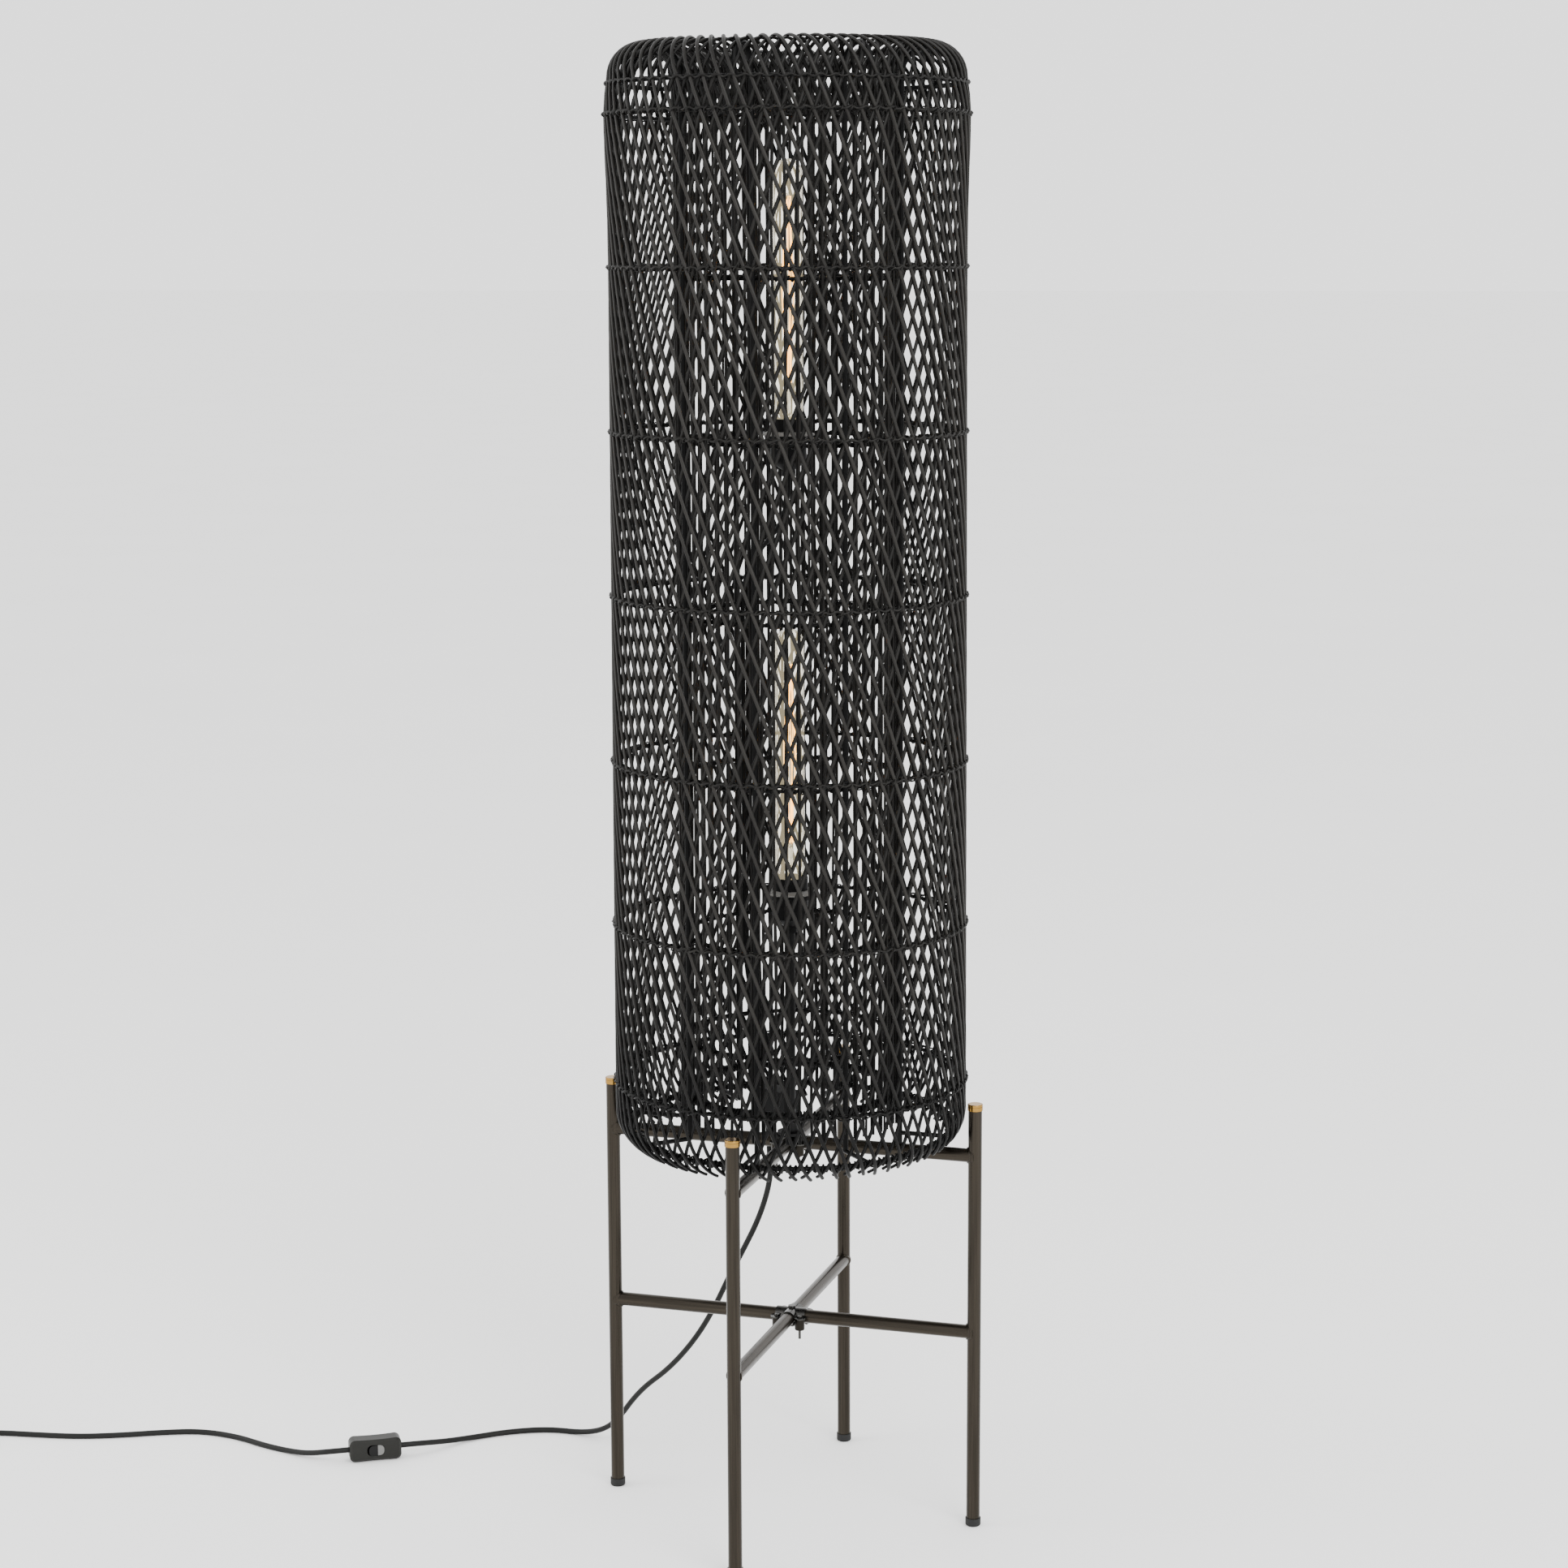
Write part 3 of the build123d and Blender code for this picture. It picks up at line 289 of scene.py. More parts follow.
def oval(wiring, width, thickness, sides):
    """Outline of one cane, thin along X, with its way round kept as an attribute."""
    circle = wiring.add("GeometryNodeCurvePrimitiveCircle", {"Resolution": sides, "Radius": 1.0})
    way_round = wiring.add("GeometryNodeSplineParameter").outputs["Factor"]
    marked = store_attribute(wiring, circle.outputs[0], "around", way_round)
    size = wiring.add("ShaderNodeCombineXYZ", {
        "X": wiring.math("MULTIPLY", thickness, 0.5),
        "Y": wiring.math("MULTIPLY", width, 0.5),
        "Z": 1.0,
    })
    return wiring.add("GeometryNodeTransform", {"Geometry": marked, "Scale": size.outputs[0]}).outputs[0]


# Where the hem's ends are cut: the side that stands higher, and the reach of the four bars,
# in quarter turns, with the way that a slanting cane moves on before it has cleared them
TALL_SIDE = radians(17)
BAR_LEAD = 0.017
BAR_REACH = 0.055

# How a cane strays: bends a metre, the step from one cane's bends to the next one's, and the
# gain that brings the noise, which keeps near its middle, up to the full stray
STRAY_RATE = 7.0
STRAY_STEP = 5.37
STRAY_GAIN = 4.0

CANE_SIDES = 8
THREAD_SIDES = 5


def strand_tree():
    """Canes that repeat one line round the axis, singly or in pairs."""
    tree, wiring, given = tree_with_inputs("shade_strands", {
        "Bundles": "Int", "Strands per Bundle": "Int", "Pair Gap": "Float", "Pair Depth": "Float",
        "Direction": "Float", "Depth": "Float", "Width": "Float", "Thickness": "Float",
        "Wander": "Float", "Cut Spread": "Float", "Cut Tilt": "Float", "Cut at Bars": "Float",
        "Darkest": "Float", "Lightest": "Float", "Seed": "Int", "Material": "Material",
    })
    line = wiring.add("GeometryNodeMeshToCurve", {"Mesh": given["Geometry"]}).outputs[0]
    amount = wiring.math("MULTIPLY", given["Bundles"], given["Strands per Bundle"])
    copies = wiring.add(
        "GeometryNodeDuplicateElements", {"Geometry": line, "Amount": amount}, domain="SPLINE",
    )
    item = copies.outputs["Duplicate Index"]
    bundle = wiring.math("FLOOR", wiring.math("DIVIDE", item, given["Strands per Bundle"]))
    within = wiring.math("SUBTRACT", item, wiring.math("MULTIPLY", bundle, given["Strands per Bundle"]))
    middle = wiring.math("MULTIPLY", wiring.math("SUBTRACT", given["Strands per Bundle"], 1.0), 0.5)
    from_middle = wiring.math("SUBTRACT", within, middle)
    share = wiring.math("DIVIDE", bundle, given["Bundles"])
    start = wiring.math("MULTIPLY", share, 2 * pi)

    # Ends: ragged, longer on one side, and cut short over the four bars that they would meet
    ragged = random_number(wiring, 0.0, given["Cut Spread"], item, given["Seed"])
    lean_side = wiring.math("COSINE", wiring.math("SUBTRACT", start, TALL_SIDE))
    tilted = wiring.math("MULTIPLY", wiring.math("MULTIPLY_ADD", lean_side, 0.5, 0.5), given["Cut Tilt"])
    quarter = wiring.math("FRACT", wiring.math("MULTIPLY_ADD", share, 4.0, 0.5))
    from_bar = wiring.math("MULTIPLY", wiring.math("SUBTRACT", quarter, 0.5), given["Direction"])
    off_bar = wiring.math("ABSOLUTE", wiring.math("ADD", from_bar, BAR_LEAD))
    meets_bar = wiring.math("LESS_THAN", off_bar, BAR_REACH)
    over_bar = wiring.math("MULTIPLY", meets_bar, given["Cut at Bars"])
    cut = wiring.math("MAXIMUM", wiring.math("ADD", ragged, tilted), over_bar)
    trimmed = wiring.add("GeometryNodeTrimCurve", {"Curve": copies.outputs[0], 2: cut}, mode="FACTOR")

    place = wiring.add("GeometryNodeInputPosition").outputs[0]
    spot = wiring.add("ShaderNodeSeparateXYZ", {0: place}).outputs
    aside = wiring.math("MULTIPLY", from_middle, given["Pair Gap"])
    waver = wiring.add("ShaderNodeCombineXYZ", {
        "X": wiring.math("MULTIPLY", spot["Z"], STRAY_RATE),
        "Y": wiring.math("MULTIPLY_ADD", item, STRAY_STEP, given["Seed"]),
        "Z": wiring.math("MULTIPLY", spot["X"], STRAY_RATE),
    })
    noise = wiring.add("ShaderNodeTexNoise", {"Vector": waver.outputs[0], "Scale": 1.0, "Detail": 1.0})
    stray = wiring.math(
        "MULTIPLY", wiring.math("SUBTRACT", noise.outputs["Fac"], 0.5),
        wiring.math("MULTIPLY", given["Wander"], STRAY_GAIN),
    )
    sideways = wiring.math("DIVIDE", wiring.math("ADD", aside, stray), spot["X"])
    turn = wiring.math("MULTIPLY", read_attribute(wiring, "turn", "FLOAT"), given["Direction"])
    angle = wiring.math("ADD", wiring.math("ADD", start, turn), sideways)

    out = read_attribute(wiring, "out", "FLOAT_VECTOR")
    depth = wiring.math("ADD", given["Depth"], wiring.math("MULTIPLY", from_middle, given["Pair Depth"]))
    inwards = wiring.math("MULTIPLY", depth, -1.0)
    sunk = wiring.add("ShaderNodeVectorMath", {0: out, "Scale": inwards}, operation="SCALE")
    lowered = wiring.add("ShaderNodeVectorMath", {0: place, 1: sunk.outputs[0]}, operation="ADD")
    turned = wiring.add(
        "ShaderNodeVectorRotate", {"Vector": lowered.outputs[0], "Angle": angle}, rotation_type="Z_AXIS",
    )
    facing = wiring.add(
        "ShaderNodeVectorRotate", {"Vector": out, "Angle": angle}, rotation_type="Z_AXIS",
    )
    facing_kept = wiring.add(
        "GeometryNodeCaptureAttribute", {"Geometry": trimmed.outputs[0]}, domain="POINT",
    )
    facing_kept.capture_items.new("VECTOR", "Facing")
    wiring.tree.links.new(facing.outputs[0], facing_kept.inputs["Facing"])
    placed = wiring.add("GeometryNodeSetPosition", {
        "Geometry": facing_kept.outputs["Geometry"], "Position": turned.outputs[0],
    })
    aligned = wiring.add("GeometryNodeSetCurveNormal", {
        "Curve": placed.outputs[0], "Normal": facing_kept.outputs["Facing"],
    }, mode="FREE")
    way_along = wiring.add("GeometryNodeSplineParameter").outputs["Length"]
    marked = store_attribute(wiring, aligned.outputs[0], "along", way_along)
    # A random tone for each cane from the range given; the outer wall's two layers get ranges that paint
    # light on the front canes and shade on those behind.
    shade = random_number(wiring, given["Darkest"], given["Lightest"], item, given["Seed"])
    marked = store_attribute(wiring, marked, "tone", shade)
    tube = wiring.add("GeometryNodeCurveToMesh", {
        "Curve": marked, "Fill Caps": True,
        "Profile Curve": oval(wiring, given["Width"], given["Thickness"], CANE_SIDES),
    })
    close_tree(wiring, tube.outputs[0], given["Material"])
    return tree


def twine_tree():
    """A thread wound round each hoop, in loops that take in the strands it ties."""
    tree, wiring, given = tree_with_inputs("hoop_twine", {
        "Hoops": "Int", "Turns": "Int", "Steps per Turn": "Int", "Loop Depth": "Float",
        "Loop Height": "Float", "Thread": "Float", "Seed": "Int", "Material": "Material",
    })
    steps = wiring.math("MULTIPLY", given["Turns"], given["Steps per Turn"])
    circle = wiring.add("GeometryNodeCurvePrimitiveCircle", {"Resolution": steps, "Radius": 1.0})
    copies = wiring.add(
        "GeometryNodeDuplicateElements", {"Geometry": circle.outputs[0], "Amount": given["Hoops"]},
        domain="SPLINE",
    )
    item = copies.outputs["Duplicate Index"]
    hoop = wiring.add("GeometryNodeSampleIndex", {
        "Geometry": given["Geometry"], "Value": wiring.add("GeometryNodeInputPosition").outputs[0],
        "Index": item,
    }, data_type="FLOAT_VECTOR", domain="POINT")
    hoop_spot = wiring.add("ShaderNodeSeparateXYZ", {0: hoop.outputs[0]}).outputs
    step = wiring.add("GeometryNodeSplineParameter").outputs["Index"]
    round_hoop = wiring.math("MULTIPLY", wiring.math("DIVIDE", step, steps), 2 * pi)
    winding = wiring.math("MULTIPLY", wiring.math("DIVIDE", step, given["Steps per Turn"]), 2 * pi)
    slack = random_number(wiring, 0.85, 1.2, step, wiring.math("ADD", given["Seed"], item))
    reach = wiring.math("MULTIPLY", wiring.math("COSINE", winding), given["Loop Depth"])
    rise = wiring.math("MULTIPLY", wiring.math("SINE", winding), given["Loop Height"])
    reach = wiring.math("MULTIPLY", reach, slack)
    rise = wiring.math("MULTIPLY", rise, slack)
    flat = wiring.add("ShaderNodeCombineXYZ", {
        "X": wiring.math("ADD", hoop_spot["X"], reach), "Y": 0.0,
        "Z": wiring.math("ADD", hoop_spot["Z"], rise),
    })
    turned = wiring.add("ShaderNodeVectorRotate", {
        "Vector": flat.outputs[0], "Angle": round_hoop,
    }, rotation_type="Z_AXIS")
    placed = wiring.add("GeometryNodeSetPosition", {
        "Geometry": copies.outputs[0], "Position": turned.outputs[0],
    })
    way_along = wiring.add("GeometryNodeSplineParameter").outputs["Length"]
    marked = store_attribute(wiring, placed.outputs[0], "along", way_along)
    shade = random_number(wiring, 0.0, 0.5, step, given["Seed"])
    marked = store_attribute(wiring, marked, "tone", shade)
    across = wiring.math("MULTIPLY", given["Thread"], 2.0)
    tube = wiring.add("GeometryNodeCurveToMesh", {
        "Curve": marked, "Profile Curve": oval(wiring, across, across, THREAD_SIDES),
        "Fill Caps": False,
    })
    close_tree(wiring, tube.outputs[0], given["Material"])
    return tree


def grow(piece, tree, values):
    """Run a node tree on a piece with these inputs, and keep its result as a plain mesh."""
    modifier = piece.modifiers.new(tree.name, "NODES")
    modifier.node_group = tree
    for label, value in values.items():
        modifier[tree.interface.items_tree[label].identifier] = value
    settle(piece)


def settle(piece):
    """Turn what the modifiers show into the piece's own mesh."""
    bpy.context.view_layer.update()
    depsgraph = bpy.context.evaluated_depsgraph_get()
    mesh = bpy.data.meshes.new_from_object(
        piece.evaluated_get(depsgraph), preserve_all_data_layers=True, depsgraph=depsgraph,
    )
    if not mesh.polygons:
        raise RuntimeError(f"{piece.name} came out empty")
    piece.modifiers.clear()
    piece.data = mesh


def new_piece(name, data):
    piece = bpy.data.objects.new(name, data)
    bpy.context.scene.collection.objects.link(piece)
    return piece


def finish_piece(piece, body, slot, *nodes):
    """Ride the piece on its body and hide the solids that it stands for; its slot is not used."""
    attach(piece, body)
    if nodes:
        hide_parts(*nodes)


# Lines that the canes follow

def line_mesh(name, points, lean):
    """A chain of edges from (radius, height) points, with its turn and its outward way."""
    mesh = bpy.data.meshes.new(name)
    mesh.from_pydata([(r, 0, z) for r, z in points], [(i, i + 1) for i in range(len(points) - 1)], [])
    turn = mesh.attributes.new("turn", "FLOAT", "POINT")
    out = mesh.attributes.new("out", "FLOAT_VECTOR", "POINT")
    turned = 0.0
    for index, (r, z) in enumerate(points):
        before = points[max(index - 1, 0)]
        after = points[min(index + 1, len(points) - 1)]
        way = Vector((after[0] - before[0], after[1] - before[1])).normalized()
        if index:
            turned += hypot(r - before[0], z - before[1]) * tan(lean) / r
        turn.data[index].value = turned
        out.data[index].vector = (way.y, 0, -way.x)
    return mesh


def wall_radius(height):
    """Radius of the outer wall, with the slight swell below its shoulder."""
    share = max(0.0, (height - HEM_HIGH.z) / (RIM_LEVEL - HEM_HIGH.z))
    fade = SWELL_BELOW if height < SWELL_LEVEL else SWELL_ABOVE
    swell = SWELL * exp(-((height - SWELL_LEVEL) / fade) ** 2)
    return BOTTOM_RADIUS + share * (TOP_RADIUS - BOTTOM_RADIUS) + swell


def outer_line():
    """Round the hem's curl, up the outer wall, over the rim and down into the opening."""
    curl_steps, wall_steps, rim_steps, drop_steps = 12, 60, 18, 3
    drop = 14 * MM
    curl_sweep = acos(1 - HEM_TUCK / HEM_CURL)
    curl_level = HEM_LOW.z + HEM_CURL * sin(curl_sweep)
    points = []
    for step in range(curl_steps):
        angle = curl_sweep * (step / curl_steps - 1)
        radius = BOTTOM_RADIUS - HEM_CURL * (1 - cos(angle))
        points.append((radius, curl_level + HEM_CURL * sin(angle)))
    for step in range(wall_steps):
        height = curl_level + (RIM_LEVEL - curl_level) * step / wall_steps
        points.append((wall_radius(height), height))
    for step in range(rim_steps + 1):
        angle = pi * step / rim_steps
        points.append((RIM_MIDDLE + RIM_RADIUS * cos(angle), RIM_LEVEL + RIM_RADIUS * sin(angle)))
    for step in range(1, drop_steps + 1):
        points.append((OPENING_RADIUS, RIM_LEVEL - drop * step))
    return points


def inner_line():
    """Down the inner wall from inside the rim to the loose ends above the bars."""
    steps = 50
    top = RIM_LEVEL + 6 * MM
    bottom = INNER_FOOT - 26 * MM
    return [(OPENING_RADIUS, top + (bottom - top) * step / steps) for step in range(steps + 1)]


def windings():
    """Each thread: its hoops, turns, steps a turn, loop depth and height in mm, and weight."""
    outer, binding = [], []
    for height in OUTER_HOOPS:
        radius = wall_radius(height * MM)
        outer.append((radius - 4.3 * MM, 0, height * MM))
        binding.append((radius + 0.2 * MM, 0, height * MM + 0.6 * MM))
    binding.append((wall_radius(SHOULDER_LEVEL) + 0.2 * MM, 0, SHOULDER_LEVEL))
    inner = [(OPENING_RADIUS - 0.8 * MM, 0, height * MM) for height in INNER_HOOPS]
    ring = (BOTTOM_RADIUS - 15.3 * MM, 0, RING_LEVEL)
    last_hoop = (OPENING_RADIUS - 2 * MM, 0, INNER_HOOPS[-1] * MM)
    return [
        ("outer_twine", outer, 121, 9, 5.4, 2.6, 1.0),
        ("outer_binding", binding, 79, 6, 1.1, 1.2, 1.2),
        ("inner_twine", inner, 88, 9, 3.8, 2.7, 1.0),
        ("ring_wrap", [ring, last_hoop], 190, 6, 3.4, 3.8, 1.5),
    ]


# Cord

# The coil's half turns, in millimetres from its middle: in and out again one layer higher
COIL_HEADING = radians(197)
COIL_ENDS = [42.2, -42.2, 35.1, -35.1, 28, -28, 35.1, -35.1, 42.2]
CLIMBING_HALF = 4


def cord_points():
    """Control points of the cord: down to the floor, through the switch and into the coil."""
    points = [
        (-28, 15, 400), (-28, 15, 380), (-34, 18, 352), (-47, 24, 318), (-66, 32, 282),
        (-86, 41, 246), (-105, 50, 208), (-127, 60, 171), (-152, 71, 138), (-179, 83, 109),
        (-206, 95, 86), (-227, 105, 63), (-245, 113, 38), (-268, 124, 15), (-300, 134, 3.25),
        (-344, 134, 3.25), (-386, 113, 3.25), (-417, 86, 3.25), (-441, 57, 6),
        SWITCH_START - SWITCH_RUN * 22, SWITCH_START, SWITCH_END, SWITCH_END + SWITCH_RUN * 24,
        (-582, -28, 6.5), (-612, -19, 3.25), (-646, -11, 3.25), (-690, 6, 3.25), (-738, 10, 3.25),
        (-780, -6, 3.25), (-822, -28, 3.25), (-868, -47, 3.25), (-918, -56, 3.25),
    ]
    heading = Vector((cos(COIL_HEADING), sin(COIL_HEADING), 0))
    sideways = Vector((heading.y, -heading.x, 0))
    entry = Vector((-1017, -78, 0))
    middle = entry - sideways * COIL_ENDS[0]
    floor_line, upper_layer = 3.25, 10.35
    points.append(entry - heading * 52.5 + Vector((0, 0, floor_line)))
    points.append(entry - heading * 6.5 + Vector((0, 0, floor_line)))
    steps = 8
    for half, (here, there) in enumerate(zip(COIL_ENDS, COIL_ENDS[1:])):
        centre, reach = (here + there) / 2, (here - there) / 2
        for step in range(steps):
            angle = pi * step / steps
            climb = step / steps if half == CLIMBING_HALF else float(half > CLIMBING_HALF)
            x = centre + reach * cos(angle)
            y = abs(reach) * sin(angle) * (1 if here > there else -1)
            height = floor_line + climb * (upper_layer - floor_line)
            points.append(middle + sideways * x + heading * y + Vector((0, 0, height)))
    last = middle + sideways * COIL_ENDS[-1] + Vector((0, 0, upper_layer))
    points.append(last)
    points.append(last + heading * 30)
    return [Vector(point) * MM for point in points]


# Finishes

def new_material(name):
    material = bpy.data.materials.new(name)
    material.use_nodes = True
    wiring = Wiring(material.node_tree)
    shader = material.node_tree.nodes["Principled BSDF"]
    return material, wiring, shader


def surface_noise(wiring, vector, scale, detail=3.0, roughness=0.55):
    made = wiring.add("ShaderNodeTexNoise", {
        "Vector": vector, "Scale": scale, "Detail": detail, "Roughness": roughness,
    })
    return made.outputs["Fac"]


def blend_colours(wiring, share, dark, light):
    """A colour from dark to light by a noise, which keeps to the middle of its range."""
    ramp = wiring.add("ShaderNodeValToRGB", {0: share})
    ramp.color_ramp.elements[0].color = (*dark, 1)
    ramp.color_ramp.elements[1].color = (*light, 1)
    ramp.color_ramp.elements[0].position = 0.3
    ramp.color_ramp.elements[1].position = 0.72
    return ramp.outputs["Color"]


def spread(wiring, share, low, high):
    """Stretch the middle of a noise's range from low to high."""
    made = wiring.add("ShaderNodeMapRange", {0: share, 1: 0.25, 2: 0.75, 3: low, 4: high})
    return made.outputs[0]


def shaded(colour, factor):
    return tuple(min(1.0, channel * factor) for channel in colour)


def object_place(wiring, stretch=(1, 1, 1)):
    """Object coordinates, stretched so that a pattern runs along the piece."""
    place = wiring.add("ShaderNodeTexCoord").outputs["Object"]
    return wiring.add("ShaderNodeMapping", {"Vector": place, "Scale": stretch}).outputs[0]


def worn_surface(name, colour, rough, metallic=0.0, grain=600.0, stretch=(1, 1, 1), bump=0.08,
                 contrast=0.25, clouds=18.0, depth=1.45):
    """A finish with cloudy colour, uneven gloss and a fine grain."""
    material, wiring, shader = new_material(name)
    place = object_place(wiring, stretch)
    cloud = surface_noise(wiring, place, clouds, 4.0)
    fine = surface_noise(wiring, place, grain, 2.0)
    mixed = wiring.math("MULTIPLY_ADD", cloud, 0.7, wiring.math("MULTIPLY", fine, 0.3))
    tint = blend_colours(wiring, mixed, shaded(colour, 1 - contrast), shaded(colour, 1 + contrast))
    wiring.tree.links.new(tint, shader.inputs["Base Color"])
    wiring.tree.links.new(spread(wiring, mixed, rough[0], rough[1]), shader.inputs["Roughness"])
    bumped = wiring.add("ShaderNodeBump", {"Strength": bump, "Distance": 0.0002, "Height": fine})
    wiring.tree.links.new(bumped.outputs[0], shader.inputs["Normal"])
    shader.inputs["Metallic"].default_value = metallic
    shader.inputs["IOR"].default_value = depth
    return material


def tube_finish(name, colour, stretch):
    """Dark lacquered steel with drawn streaks along the tube, in lighter and darker colour that also
    stands in for streaked highlights: partly the metal's own grain, partly painted sheen.
    """
    return worn_surface(name, colour, (0.2, 0.36), 0.9, 700, stretch, 0.06, 0.42, clouds=260.0)


# Fibres of the cane: how often they change along a metre and round a strand, and how far
# apart two strands' fibres are read
FIBRES_ALONG = 9.0
FIBRES_AROUND = 5.0
FIBRES_APART = 40.0

# Where painted shade darkens the cane, at the hem and at the rim: two heights in metres, and the share
# of the colour left at each
HEM_PAINTED_SHADE = {1: 0.47, 2: 0.64, 3: 0.12, 4: 1.0}
RIM_PAINTED_SHADE = {1: 1.5, 2: 1.58, 3: 1.0, 4: 0.55}


def cane_finish(name, colour, rough=(0.34, 0.52)):
    """Stained cane: long fibres, a tone for each strand, and painted shade that darkens it at the hem
    and the rim.
    """
    material, wiring, shader = new_material(name)
    along = wiring.add("ShaderNodeAttribute", attribute_name="along").outputs["Fac"]
    around = wiring.add("ShaderNodeAttribute", attribute_name="around").outputs["Fac"]
    tone = wiring.add("ShaderNodeAttribute", attribute_name="tone").outputs["Fac"]
    way_round = wiring.math("MULTIPLY", around, 2 * pi)
    across = wiring.math("MULTIPLY", wiring.math("COSINE", way_round), FIBRES_AROUND)
    fibre_place = wiring.add("ShaderNodeCombineXYZ", {
        "X": wiring.math("MULTIPLY", along, FIBRES_ALONG),
        "Y": wiring.math("MULTIPLY", wiring.math("SINE", way_round), FIBRES_AROUND),
        "Z": wiring.math("MULTIPLY_ADD", tone, FIBRES_APART, across),
    }).outputs[0]
    fibre = surface_noise(wiring, fibre_place, 1.0, 5.0, 0.65)
    patch = surface_noise(wiring, object_place(wiring), 34.0, 3.0)
    # The tone also carries the painted light and shade of the outer wall's front and back layers.
    share = wiring.math("MULTIPLY_ADD", fibre, 0.45, wiring.math("MULTIPLY", tone, 0.25))
    share = wiring.math("MULTIPLY_ADD", patch, 0.3, share)
    tint = blend_colours(wiring, share, shaded(colour, 0.4), shaded(colour, 2.6))
    # Painted shade: the cane's colour is darkened towards the hem and towards the rim.
    height = wiring.add("ShaderNodeSeparateXYZ", {0: object_place(wiring)}).outputs["Z"]
    hem = wiring.add("ShaderNodeMapRange", {0: height, **HEM_PAINTED_SHADE})
    rim = wiring.add("ShaderNodeMapRange", {0: height, **RIM_PAINTED_SHADE})
    painted_shade = wiring.math("MULTIPLY", hem.outputs[0], rim.outputs[0])
    # The tint with the painted shade of the hem and the rim laid over it.
    stained = wiring.add("ShaderNodeVectorMath", {0: tint, "Scale": painted_shade}, operation="SCALE")
    wiring.tree.links.new(stained.outputs[0], shader.inputs["Base Color"])
    wiring.tree.links.new(spread(wiring, share, rough[1], rough[0]), shader.inputs["Roughness"])
    bumped = wiring.add("ShaderNodeBump", {"Strength": 0.35, "Distance": 0.0004, "Height": fibre})
    wiring.tree.links.new(bumped.outputs[0], shader.inputs["Normal"])
    shader.inputs["IOR"].default_value = 1.24
    return material


def glass_finish(name, tint):
    """Thin clear glass with a warm tint and faint streaks."""
    material, wiring, shader = new_material(name)
    streak = surface_noise(wiring, object_place(wiring, (60, 60, 4)), 1.0, 2.0)
    colour = blend_colours(wiring, streak, shaded(tint, 0.97), tint)
    wiring.tree.links.new(colour, shader.inputs["Base Color"])
    wiring.tree.links.new(spread(wiring, streak, 0.0, 0.04), shader.inputs["Roughness"])
    shader.inputs["Transmission Weight"].default_value = 1.0
    shader.inputs["IOR"].default_value = 1.12
    shader.inputs["Emission Color"].default_value = (1.0, 0.86, 0.56, 1)
    shader.inputs["Emission Strength"].default_value = 0.1
    return material


def rocker_finish(name, dark, pale):
    """Glossy moulding with a pale end, where the light catches the rocker's raised side."""
    material, wiring, shader = new_material(name)
    place = wiring.add("ShaderNodeTexCoord").outputs["Object"]
    middle = (SWITCH_START + SWITCH_END) / 2 * MM
    from_middle = wiring.add("ShaderNodeVectorMath", {0: place, 1: middle}, operation="SUBTRACT")
    along = wiring.add(
        "ShaderNodeVectorMath", {0: from_middle.outputs[0], 1: SWITCH_RUN}, operation="DOT_PRODUCT",
    )
    fine = surface_noise(wiring, place, 900.0, 2.0)
    edge = wiring.math("MULTIPLY_ADD", fine, 0.6 * MM, along.outputs["Value"])
    share = wiring.add("ShaderNodeMapRange", {0: edge, 1: -1.5 * MM, 2: -2.6 * MM}).outputs[0]
    tint = blend_colours(wiring, share, dark, pale)
    wiring.tree.links.new(tint, shader.inputs["Base Color"])
    wiring.tree.links.new(spread(wiring, fine, 0.1, 0.2), shader.inputs["Roughness"])
    shader.inputs["IOR"].default_value = 1.3
    return material


def glow_finish(name, colour, strength):
    """A hot wire, uneven in its heat."""
    material, wiring, shader = new_material(name)
    heat = surface_noise(wiring, object_place(wiring, (1, 1, 14)), 1.0, 2.0)
    tint = blend_colours(wiring, heat, shaded(colour, 0.8), colour)
    wiring.tree.links.new(tint, shader.inputs["Base Color"])
    wiring.tree.links.new(tint, shader.inputs["Emission Color"])
    shader.inputs["Emission Strength"].default_value = strength
    return material


